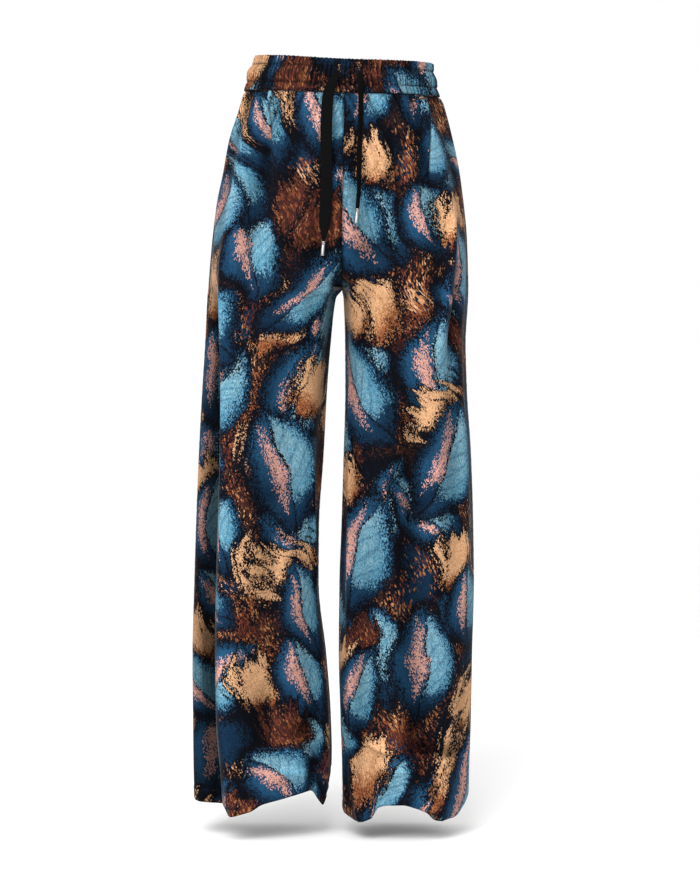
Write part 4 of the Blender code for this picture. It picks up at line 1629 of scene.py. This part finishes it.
# ---- shader sums
class Recipe:
    """The node tree of one finish, written as calls and sums."""

    def __init__(self, name: str) -> None:
        """Starts an empty material.

        Args:
            name: the finish's name.
        """
        self.material = bpy.data.materials.new(name)
        self.material.use_nodes = True
        self.tree = self.material.node_tree
        self.tree.nodes.clear()

    def node(
        self, kind: str, settings: dict[str, object], sockets: dict[int | str, object]
    ) -> bpy.types.Node:
        """Adds a node.

        Args:
            kind: the node's type.
            settings: its properties, which are set first.
            sockets: values or signals for its inputs, by number or name.

        Returns:
            The node.
        """
        made = self.tree.nodes.new(kind)
        for name, value in settings.items():
            setattr(made, name, value)
        for key, value in sockets.items():
            if isinstance(value, Signal):
                self.tree.links.new(value.socket, made.inputs[key])
            else:
                made.inputs[key].default_value = value
        return made

    def signal(
        self,
        kind: str,
        settings: dict[str, object],
        sockets: dict[int | str, object],
        output: int | str = 0,
    ) -> "Signal":
        """Adds a node and gives one of its outputs as a signal."""
        return Signal(self, self.node(kind, settings, sockets).outputs[output])

    def maths(self, operation: str, *values: object) -> "Signal":
        """Adds a Math node on up to three numbers or signals."""
        return self.signal("ShaderNodeMath", {"operation": operation}, dict(enumerate(values)))

    def vectors(self, operation: str, *values: object) -> "Signal":
        """Adds a Vector Math node on up to three vectors."""
        return self.signal("ShaderNodeVectorMath", {"operation": operation}, dict(enumerate(values)))

    def scaled(self, vector: "Signal", factor: "Signal | float") -> "Signal":
        """Scales a vector."""
        return self.signal("ShaderNodeVectorMath", {"operation": "SCALE"}, {0: vector, "Scale": factor})

    def joined(self, x: object, y: object, z: object = 0.0) -> "Signal":
        """Joins three numbers to a vector."""
        return self.signal("ShaderNodeCombineXYZ", {}, {0: x, 1: y, 2: z})

    def split(self, vector: "Signal") -> tuple["Signal", "Signal", "Signal"]:
        """Splits a vector into its three numbers."""
        made = self.node("ShaderNodeSeparateXYZ", {}, {0: vector})
        return tuple(Signal(self, socket) for socket in made.outputs)

    def mix(self, share: object, first: object, second: object) -> "Signal":
        """Mixes two colours."""
        return self.signal("ShaderNodeMix", {"data_type": "RGBA"}, {0: share, 6: first, 7: second}, 2)

    def rise(self, value: object, low: float, high: float) -> "Signal":
        """A soft step from 0 at the low value to 1 at the high one, which may be the smaller."""
        return self.signal(
            "ShaderNodeMapRange",
            {"interpolation_type": "SMOOTHSTEP"},
            {"Value": value, "From Min": low, "From Max": high},
        )

    def noise(self, vector: object, scale: float, detail: float = 1.0, roughness: float = 0.5) -> "Signal":
        """Noise about 0, roughly from -1 to 1."""
        made = self.signal(
            "ShaderNodeTexNoise",
            {},
            {"Vector": vector, "Scale": scale, "Detail": detail, "Roughness": roughness},
        )
        return (made - 0.5) * 2.6

    def cells(self, x: object, y: object) -> tuple["Signal", "Signal"]:
        """Two numbers from -1 to 1, by chance, for each small cell of an uneven mosaic 1 wide."""
        made = self.signal(
            "ShaderNodeTexVoronoi",
            {"voronoi_dimensions": "2D"},
            {"Vector": self.joined(x, y), "Scale": 1.0},
            "Color",
        )
        first, second, _ = self.split(made)
        return first * 2.0 - 1.0, second * 2.0 - 1.0

    def bump(self, height: object, strength: float, distance: float) -> "Signal":
        """Turns a height into a normal."""
        sockets = {"Strength": strength, "Distance": distance, "Height": height}
        return self.signal("ShaderNodeBump", {}, sockets)

    def solid_place(self) -> "Signal":
        """Places in the object's own frame, in millimetres."""
        return self.scaled(self.signal("ShaderNodeTexCoord", {}, {}, "Object"), 1.0 / METRE)

    def cut_map(self) -> "Signal":
        """Places on the flat cloth, in millimetres."""
        flat = self.signal("ShaderNodeUVMap", {"uv_map": CUT_MAP}, {})
        return self.scaled(flat, 1.0 / METRE)

    def surface(self, sockets: dict[str, object]) -> Material:
        """Ends the recipe in a Principled surface with these inputs, and gives the material."""
        shader = self.signal("ShaderNodeBsdfPrincipled", {}, sockets)
        self.node("ShaderNodeOutputMaterial", {}, {"Surface": shader})
        return self.material


def operated(operation: str, is_reflected: bool = False) -> "Callable[..., Signal]":
    """Makes a method of a signal that adds one kind of Math node.

    Args:
        operation: the node's operation.
        is_reflected: whether the signal is the last value, not the first.

    Returns:
        The method.
    """

    def method(self: "Signal", *others: object) -> "Signal":
        """Adds the Math node."""
        values = (*others, self) if is_reflected else (self, *others)
        return self.recipe.maths(operation, *values)

    return method


class Signal:
    """A socket that can be used in sums."""

    __add__, __radd__ = operated("ADD"), operated("ADD", True)
    __sub__, __rsub__ = operated("SUBTRACT"), operated("SUBTRACT", True)
    __mul__, __rmul__ = operated("MULTIPLY"), operated("MULTIPLY", True)
    __truediv__, __rtruediv__ = operated("DIVIDE"), operated("DIVIDE", True)
    __abs__, floor, root = operated("ABSOLUTE"), operated("FLOOR"), operated("SQRT")
    sine, cosine = operated("SINE"), operated("COSINE")
    remainder, most = operated("FLOORED_MODULO"), operated("MAXIMUM")

    def __init__(self, recipe: Recipe, socket: bpy.types.NodeSocket) -> None:
        """Holds a socket and the recipe that it belongs to."""
        self.recipe = recipe
        self.socket = socket


# ---- the printed cloth's pattern
@dataclass(frozen=True)
class Scatter:
    """A staggered layout that one motif is repeated in, with some chance in it.

    Attributes:
        cell: width and height of the room that each motif has.
        shift: how far the whole layout is moved.
        jitter: how far a motif may lie from the middle of its room, across and up.
        swing: the whole angle that motifs may turn through, in degrees.
        lean: the angle that they lean at on average.
    """

    cell: Pair
    shift: Pair
    jitter: Pair
    swing: float
    lean: float
    seed: float

    def local(self, recipe: Recipe, place: Signal) -> tuple[Signal, Signal, Signal, Signal]:
        """Gives places in the nearest motif's own frame.

        Args:
            recipe: the finish's recipe.
            place: places on the cloth.

        Returns:
            Across the motif, up it, a number by chance for each motif, and how far a place lies
            outside the motif's room.
        """
        x, y, _ = recipe.split(place)
        wide, high = self.cell
        x = x + self.shift[0]
        column = (x / wide).floor()
        y = y + self.shift[1] + column.remainder(2.0) * (high / 2)
        row = (y / high).floor()
        chance = recipe.signal(
            "ShaderNodeTexWhiteNoise",
            {"noise_dimensions": "3D"},
            {"Vector": recipe.joined(column, row, self.seed)},
            "Color",
        )
        first, second, third = recipe.split(chance)
        x, y = x - (column + 0.5) * wide, y - (row + 0.5) * high
        outside = (abs(x) - wide / 2).most(abs(y) - high / 2)
        x, y = x + (first - 0.5) * self.jitter[0], y + (second - 0.5) * self.jitter[1]
        angle = (third - 0.5) * math.radians(self.swing) + math.radians(self.lean)
        size = 1.3 - second * 0.45
        cosine, sine = angle.cosine() * size, angle.sine() * size
        return x * cosine + y * sine, y * cosine - x * sine, first, outside


@dataclass(frozen=True)
class Print:
    """The cloth's print: loose stippled leaves and dabs that overlap on flecked dark ground.

    Attributes:
        night, navy, petrol, teal, mist, blush, peach, ochre, rust, maroon, umber: its colours.
        leaf: half the width and half the height of a leaf.
        stroke: the same for the light stroke beside its rib.
        vein: distance between two of its veins.
        dab: the same for a dab.
        halo: how far the dark ground round a motif reaches.
        ragged: how far brush streaks stand over a motif's edge.
        stipple: how far the dotted edge of a colour reaches.
        dot: width and height of a dot of the stipple.
        fleck: the same for a slanting fleck of the ground.
        mottle: how much the colours vary from dot to dot.
        fuzz: how far the dots' edges stray, in dots.
        shaded: how much the painted shade darkens the cloth deep in a fold, and the painted highlight
            lightens it on a crest.
    """

    night: Colour = (0.0025, 0.0028, 0.005, 1.0)
    navy: Colour = (0.004, 0.015, 0.034, 1.0)
    petrol: Colour = (0.0095, 0.043, 0.09, 1.0)
    teal: Colour = (0.048, 0.15, 0.22, 1.0)
    mist: Colour = (0.145, 0.255, 0.3, 1.0)
    blush: Colour = (0.4, 0.205, 0.17, 1.0)
    peach: Colour = (0.42, 0.235, 0.125, 1.0)
    ochre: Colour = (0.25, 0.105, 0.042, 1.0)
    rust: Colour = (0.135, 0.038, 0.016, 1.0)
    maroon: Colour = (0.055, 0.014, 0.011, 1.0)
    umber: Colour = (0.03, 0.012, 0.009, 1.0)
    leaf: Pair = (54.0, 96.0)
    stroke: Pair = (10.0, 56.0)
    vein: float = 29.0
    dab: Pair = (50.0, 60.0)
    halo: float = 19.0
    ragged: float = 3.6
    stipple: float = 11.0
    wander: float = 8.0
    dot: Pair = (1.15, 1.75)
    fleck: Pair = (1.9, 5.6)
    mottle: float = 0.3
    fuzz: float = 0.35
    shaded: float = 0.82
    size: float = 0.82

    def lens(self, x: Signal, y: Signal, half: Pair) -> Signal:
        """Distance from the rim of a leaf shape, negative inside it."""
        wide, high = half
        radius = (wide**2 + high**2) / (2 * wide)
        beyond = abs(x) + (radius - wide)
        return (beyond * beyond + y * y).root() - radius

    def flecks(self, recipe: Recipe, place: Signal) -> tuple[Signal, Signal]:
        """Two numbers by chance for each slanting fleck."""
        x, y, _ = recipe.split(place)
        wide, high = self.fleck
        return recipe.cells((x * 0.93 + y * 0.42) / wide, (y * 0.93 - x * 0.3) / high)

    def ground(self, recipe: Recipe, place: Signal, dots: Signal) -> Signal:
        """Paints the dark ground with its fields of slanting flecks.

        Args:
            recipe: the finish's recipe.
            place: places on the cloth.
            dots: a number by chance for each dot.

        Returns:
            The colour.
        """
        fleck, shade = self.flecks(recipe, place)
        field_of = recipe.noise(place, 0.0085, 1.0)
        warm = recipe.noise(recipe.vectors("ADD", place, (310.0, 90.0, 5.0)), 0.012, 1.0)
        plain = recipe.noise(recipe.vectors("ADD", place, (90.0, 410.0, 9.0)), 0.0075, 1.0)
        base = recipe.mix(recipe.rise(plain + dots * 0.22, 0.1, 0.3), self.night, self.umber)
        base = recipe.mix(recipe.rise(plain + dots * 0.22, -0.15, -0.35), base, self.navy)
        bright = warm + shade * 0.5 - 0.02
        tone = recipe.mix(recipe.rise(bright, -0.35, 0.0), self.maroon, self.rust)
        tone = recipe.mix(recipe.rise(bright, 0.1, 0.3), tone, self.ochre)
        tone = recipe.mix(recipe.rise(bright, 0.45, 0.65), tone, self.peach)
        share = recipe.rise(field_of * 1.7 + fleck * 0.7 - 0.25, -0.08, 0.08)
        return recipe.mix(share, base, tone)

    def leaves(self, recipe: Recipe, colour: Signal, place: Signal, dots: Signal, scatter: Scatter) -> Signal:
        """Paints one layer of leaves, each with a rib, slanting veins, a pale half and a dark half.

        Args:
            recipe: the finish's recipe.
            colour: the colour under them.
            place: places on the cloth.
            dots: a number by chance for each dot.
            scatter: their layout.

        Returns:
            The colour.
        """
        x, y, chance, outside = scatter.local(recipe, place)
        x = x + y * y * 0.0042 * (chance - 0.5)
        streaks = recipe.noise(recipe.joined(x, y * 0.22, scatter.seed), 0.13, 2.5, 0.6)
        rough = streaks * self.ragged + dots * self.stipple
        rim = self.lens(x, y, self.leaf).most(outside + self.halo + 4.0) + rough
        colour = recipe.mix(recipe.rise(rim, self.halo, self.halo - 6.0), colour, self.night)
        body = recipe.mix(recipe.rise(y + streaks * 26.0 + dots * 6.0, -95.0, 15.0), self.navy, self.petrol)
        body = recipe.mix(recipe.rise(x + streaks * 9.0, -34.0, -56.0), body, self.navy)
        colour = recipe.mix(recipe.rise(rim, 3.0, -3.0), colour, body)
        inside = recipe.rise(rim, -7.0, -10.0)
        pale = recipe.mix(recipe.rise(dots * 0.8 + streaks + y * 0.01, -0.9, 1.5), self.teal, self.mist)
        low = recipe.rise(y + streaks * 26.0 + dots * 15.0 + x * 0.5, -46.0, -34.0)
        half = recipe.rise(x + dots * 3.4 + streaks * 2.0, -0.7, 0.7) * low
        colour = recipe.mix(half * inside, colour, pale)
        flesh = recipe.mix(recipe.rise(dots * 0.7 + streaks * 0.8, 0.1, 0.9), self.blush, self.peach)
        stroke = self.lens(x + 15.0, y - 10.0, self.stroke) + rough * 0.95
        colour = recipe.mix(recipe.rise(stroke.most(rim + 4.0), 1.0, -1.0), colour, flesh)
        rising = (y - abs(x) * 1.1) * (2 * math.pi / self.vein)
        vein = (rising + streaks * 0.9).sine() + dots * 0.4
        vein = recipe.rise(vein, 0.85, 1.15) * recipe.rise(x, 1.0, 6.0) * inside
        colour = recipe.mix(vein * 0.7, colour, self.petrol)
        rib = recipe.rise(abs(x + streaks * 2.0) + dots * 2.4, 3.2, 1.8) * recipe.rise(rim, 2.0, -3.0)
        return recipe.mix(rib * recipe.rise(streaks + dots * 0.8, -0.9, -0.3), colour, self.night)

    def dabs(self, recipe: Recipe, colour: Signal, place: Signal, dots: Signal, scatter: Scatter) -> Signal:
        """Paints one layer of rounded dabs with brushed ends.

        Args:
            recipe: the finish's recipe.
            colour: the colour under them.
            place: places on the cloth.
            dots: a number by chance for each dot.
            scatter: their layout.

        Returns:
            The colour.
        """
        x, y, chance, outside = scatter.local(recipe, place)
        x = x + 16.0 * recipe.noise(recipe.joined(x, y, scatter.seed + 7.0), 0.016, 0.0)
        streaks = recipe.noise(recipe.joined(x, y * 0.16, scatter.seed), 0.075, 2.5, 0.6)
        wide, high = self.dab
        away = recipe.joined(x / wide, y / high)
        rim = recipe.signal("ShaderNodeVectorMath", {"operation": "LENGTH"}, {0: away}, "Value")
        brushed = 24.0 + 20.0 * recipe.rise(y, -20.0, 30.0)
        rim = ((rim - 1.0) * wide + streaks * brushed).most(outside + self.halo + 4.0) + dots * self.stipple
        colour = recipe.mix(recipe.rise(rim, self.halo, self.halo - 6.0), colour, self.night)
        paint = recipe.mix(recipe.rise(dots * 0.8 + streaks * 1.1, 0.2, 1.3), self.peach, self.ochre)
        low = recipe.rise(y + streaks * 16.0 + dots * 17.0 - x * 0.3, -20.0, -30.0)
        paint = recipe.mix(low, paint, recipe.mix(recipe.rise(dots, -0.5, -0.3), self.ochre, self.rust))
        fleck, shade = self.flecks(recipe, place)
        brown = recipe.mix(recipe.rise(shade + streaks * 0.6, -0.2, 0.5), self.maroon, self.rust)
        brown = recipe.mix(recipe.rise(shade + streaks * 0.8, 0.7, 1.0), brown, self.ochre)
        brown = recipe.mix(recipe.rise(fleck + streaks * 0.5, -0.35, -0.15), self.umber, brown)
        paint = recipe.mix(recipe.rise(chance, 0.77, 0.79), paint, brown)
        return recipe.mix(recipe.rise(rim, 1.5, -1.5), colour, paint)

    def paint(self, recipe: Recipe) -> Signal:
        """Paints the whole print, from the ground up, then darkens it by painted shade and lightens it by
        painted highlight.

        Args:
            recipe: the finish's recipe.

        Returns:
            Its colour.
        """
        flat = recipe.cut_map()
        pull = recipe.signal(
            "ShaderNodeTexNoise", {}, {"Vector": flat, "Scale": 0.014, "Detail": 1.0}, "Color"
        )
        pull = recipe.vectors("SUBTRACT", pull, (0.5, 0.5, 0.5))
        place = recipe.vectors("ADD", flat, recipe.scaled(pull, self.wander * 4.0))
        place = recipe.scaled(place, 1.0 / self.size)
        x, y, _ = recipe.split(flat)
        wide, high = self.dot
        fuzz = recipe.noise(flat, 1.3, 2.0, 0.6) * self.fuzz
        dots, grains = recipe.cells(x / wide + fuzz, (y + x * 0.3) / high - fuzz)
        colour = self.ground(recipe, place, dots)
        for motif, scatter in PRINT_LAYERS:
            layer = self.leaves if motif is Motif.LEAF else self.dabs
            colour = layer(recipe, colour, place, dots, scatter)
        # Painted shade in folds and gathers, and painted highlight on crests, read from the cloth's points.
        hollow = recipe.signal("ShaderNodeAttribute", {"attribute_name": PAINTED_SHADE}, {}, "Fac")
        return recipe.scaled(colour, (grains * self.mottle + 1.0) * (1.0 - hollow * self.shaded))


PRINT_LAYERS = (
    (Motif.LEAF, Scatter((176.0, 246.0), (20.0, 10.0), (40.0, 30.0), 84.0, -14.0, 1.0)),
    (Motif.DAB, Scatter((190.0, 205.0), (40.0, 0.0), (60.0, 70.0), 70.0, 0.0, 3.0)),
    (Motif.LEAF, Scatter((182.0, 252.0), (110.0, 120.0), (40.0, 30.0), 84.0, 14.0, 2.0)),
    (Motif.DAB, Scatter((236.0, 300.0), (90.0, 60.0), (60.0, 70.0), 120.0, 20.0, 5.0)),
    (Motif.LEAF, Scatter((232.0, 284.0), (60.0, 190.0), (70.0, 60.0), 90.0, 6.0, 4.0)),
)


@dataclass(frozen=True)
class Pile:
    """The pile of the cloth: short, dense and a little shiny where it turns away."""

    grain: float = 0.9
    depth: float = 0.35
    roughness: float = 0.62
    shine: float = 0.018
    sheen: float = 0.09
    sheen_roughness: float = 0.25
    sheen_tint: Colour = (0.85, 0.92, 1.0, 1.0)

    def dress(self, name: str, pattern: Print) -> Material:
        """Makes the printed cloth's material.

        Args:
            name: its name.
            pattern: the print.

        Returns:
            The material.
        """
        recipe = Recipe(name)
        flat = recipe.cut_map()
        colour = pattern.paint(recipe)
        fibres = recipe.noise(flat, self.grain, 2.0, 0.6)
        nap = recipe.noise(flat, 0.02, 2.0, 0.5)
        sockets = {
            "Base Color": colour,
            "Roughness": self.roughness + nap * 0.05,
            "Specular IOR Level": self.shine,
            "Sheen Weight": self.sheen,
            "Sheen Roughness": self.sheen_roughness,
            "Sheen Tint": self.sheen_tint,
            "Normal": recipe.bump(fibres + nap * 2.0, 0.5, self.depth * METRE),
        }
        return recipe.surface(sockets)


@dataclass(frozen=True)
class ClothBack:
    """The knitted back of the cloth, plain and dark.

    Attributes:
        wale: distance between two columns of loops.
    """

    colour: Colour = (0.03, 0.03, 0.036, 1.0)
    lighter: Colour = (0.055, 0.05, 0.055, 1.0)
    wale: float = 1.1

    def dress(self, name: str) -> Material:
        """Makes the material."""
        recipe = Recipe(name)
        flat = recipe.cut_map()
        x, y, _ = recipe.split(flat)
        loops = abs((x * (math.pi / self.wale)).sine()) + 0.4 * (y * (2 * math.pi / self.wale)).sine()
        cloudy = recipe.noise(flat, 0.02, 2.0)
        colour = recipe.mix(recipe.rise(cloudy + loops * 0.3, -0.8, 1.4), self.colour, self.lighter)
        sockets = {
            "Base Color": colour,
            "Roughness": 0.9,
            "Sheen Weight": 0.15,
            "Normal": recipe.bump(loops, 0.5, 0.25 * METRE),
        }
        return recipe.surface(sockets)


@dataclass(frozen=True)
class WovenTape:
    """Flat black woven tape, matt, with fine ribs across it.

    Attributes:
        rib: distance between two ribs.
        rib_wide: distance between two threads along it.
    """

    colour: Colour = (0.0018, 0.0019, 0.0021, 1.0)
    worn: Colour = (0.005, 0.005, 0.0054, 1.0)
    rib: float = 0.85
    rib_wide: float = 1.3

    def dress(self, name: str) -> Material:
        """Makes the material."""
        recipe = Recipe(name)
        flat = recipe.cut_map()
        x, y, _ = recipe.split(flat)
        threads = (x * (2 * math.pi / self.rib_wide)).sine()
        weave = threads * (y * (2 * math.pi / self.rib)).sine() + threads * 0.4
        worn = recipe.noise(flat, 0.3, 3.0, 0.6)
        colour = recipe.mix(recipe.rise(worn + weave * 0.4, -0.4, 1.6), self.colour, self.worn)
        sockets = {
            "Base Color": colour,
            "Roughness": 0.85 + worn * 0.05,
            "Specular IOR Level": 0.03,
            "Normal": recipe.bump(weave + worn * 0.5, 0.6, 0.22 * METRE),
        }
        return recipe.surface(sockets)


@dataclass(frozen=True)
class PlatedMetal:
    """The plated ends of the tape, a little dulled by handling."""

    colour: Colour = (0.27, 0.268, 0.262, 1.0)
    smeared: Colour = (0.16, 0.157, 0.15, 1.0)
    roughness: float = 0.27

    def dress(self, name: str) -> Material:
        """Makes the material."""
        recipe = Recipe(name)
        place = recipe.solid_place()
        smears = recipe.noise(place, 0.35, 3.0, 0.6)
        scratches = recipe.noise(recipe.vectors("MULTIPLY", place, (6.0, 6.0, 0.7)), 1.0, 1.0)
        colour = recipe.mix(recipe.rise(smears, -0.2, 1.2), self.colour, self.smeared)
        sockets = {
            "Base Color": colour,
            "Metallic": 1.0,
            "Roughness": self.roughness + smears * 0.07,
            "Normal": recipe.bump(scratches + smears, 0.15, 0.05 * METRE),
        }
        return recipe.surface(sockets)


@dataclass(frozen=True)
class Plain:
    """A dark finish with a little unevenness, for thread, and for the painted shade inside the metal ends."""

    colour: Colour
    roughness: float

    def dress(self, name: str) -> Material:
        """Makes the material."""
        recipe = Recipe(name)
        place = recipe.solid_place()
        uneven = recipe.noise(place, 1.4, 2.0)
        lighter = tuple(min(1.0, part * 1.8) for part in self.colour[:3]) + (1.0,)
        sockets = {
            "Base Color": recipe.mix(recipe.rise(uneven, -0.6, 1.2), self.colour, lighter),
            "Roughness": self.roughness,
            "Specular IOR Level": 0.1,
            "Normal": recipe.bump(uneven, 0.4, 0.1 * METRE),
        }
        return recipe.surface(sockets)


@dataclass(frozen=True)
class PaleFloor:
    """The studio floor, which fades into the white surroundings far away.

    Attributes:
        clear_radius: how far out it is whole.
        floor_radius: where it has faded.
    """

    colour: Colour
    clear_radius: float
    floor_radius: float

    def dress(self, name: str) -> Material:
        """Makes the material."""
        recipe = Recipe(name)
        place = recipe.signal("ShaderNodeTexCoord", {}, {}, "Object")
        x, y, _ = recipe.split(place)
        away = (x * x + y * y).root()
        sockets = {
            "Base Color": self.colour,
            "Roughness": 0.55,
            "Alpha": recipe.rise(away, self.floor_radius * METRE, self.clear_radius * METRE),
        }
        return recipe.surface(sockets)


@dataclass
class Wardrobe:
    """All finishes of the garment, made once."""

    print_cloth: Material
    cloth_back: Material
    tape: Material
    metal: Material
    hollow: Material
    thread: Material

    @classmethod
    def stocked(cls) -> "Wardrobe":
        """Makes every finish."""
        return cls(
            print_cloth=Pile().dress("printed_pile", Print()),
            cloth_back=ClothBack().dress("knitted_back"),
            tape=WovenTape().dress("woven_tape"),
            metal=PlatedMetal().dress("plated_metal"),
            # Painted shade: a near-black finish for the inside of the metal ends.
            hollow=Plain((0.006, 0.006, 0.006, 1.0), 0.8).dress("dark_hollow"),
            thread=Plain((0.004, 0.004, 0.006, 1.0), 0.6).dress("thread"),
        )


PRINT_OFFSETS = {
    Side.RIGHT: {Face.FRONT: (1.12, 0.02), Face.BACK: (2.02, -0.22)},
    Side.LEFT: {Face.FRONT: (-0.04, -0.22), Face.BACK: (1.38, 0.46)},
}


def main() -> None:
    """Sets the studio and builds the garment."""
    logging.basicConfig(level=logging.INFO, format="%(name)s: %(message)s", stream=sys.stdout)
    studio = Studio()
    studio.camera()
    wardrobe = Wardrobe.stocked()
    for side in Side:
        Drawstring(side).make(wardrobe)
    studio.light()
    floor = PaleFloor((0.92, 0.92, 0.92, 1.0), studio.clear_radius, studio.floor_radius)
    studio.ground(floor.dress("pale_floor"))
    band = Waistband()
    band.make(wardrobe)
    halves = {side: HalfCloth(side) for side in Side}
    sewn(halves[Side.RIGHT], halves[Side.LEFT])
    for side, cloth in halves.items():
        LegPanels(cloth, offsets=PRINT_OFFSETS[side]).make(wardrobe)
    Stitches(band).make(wardrobe)


if __name__ == "__main__":
    main()
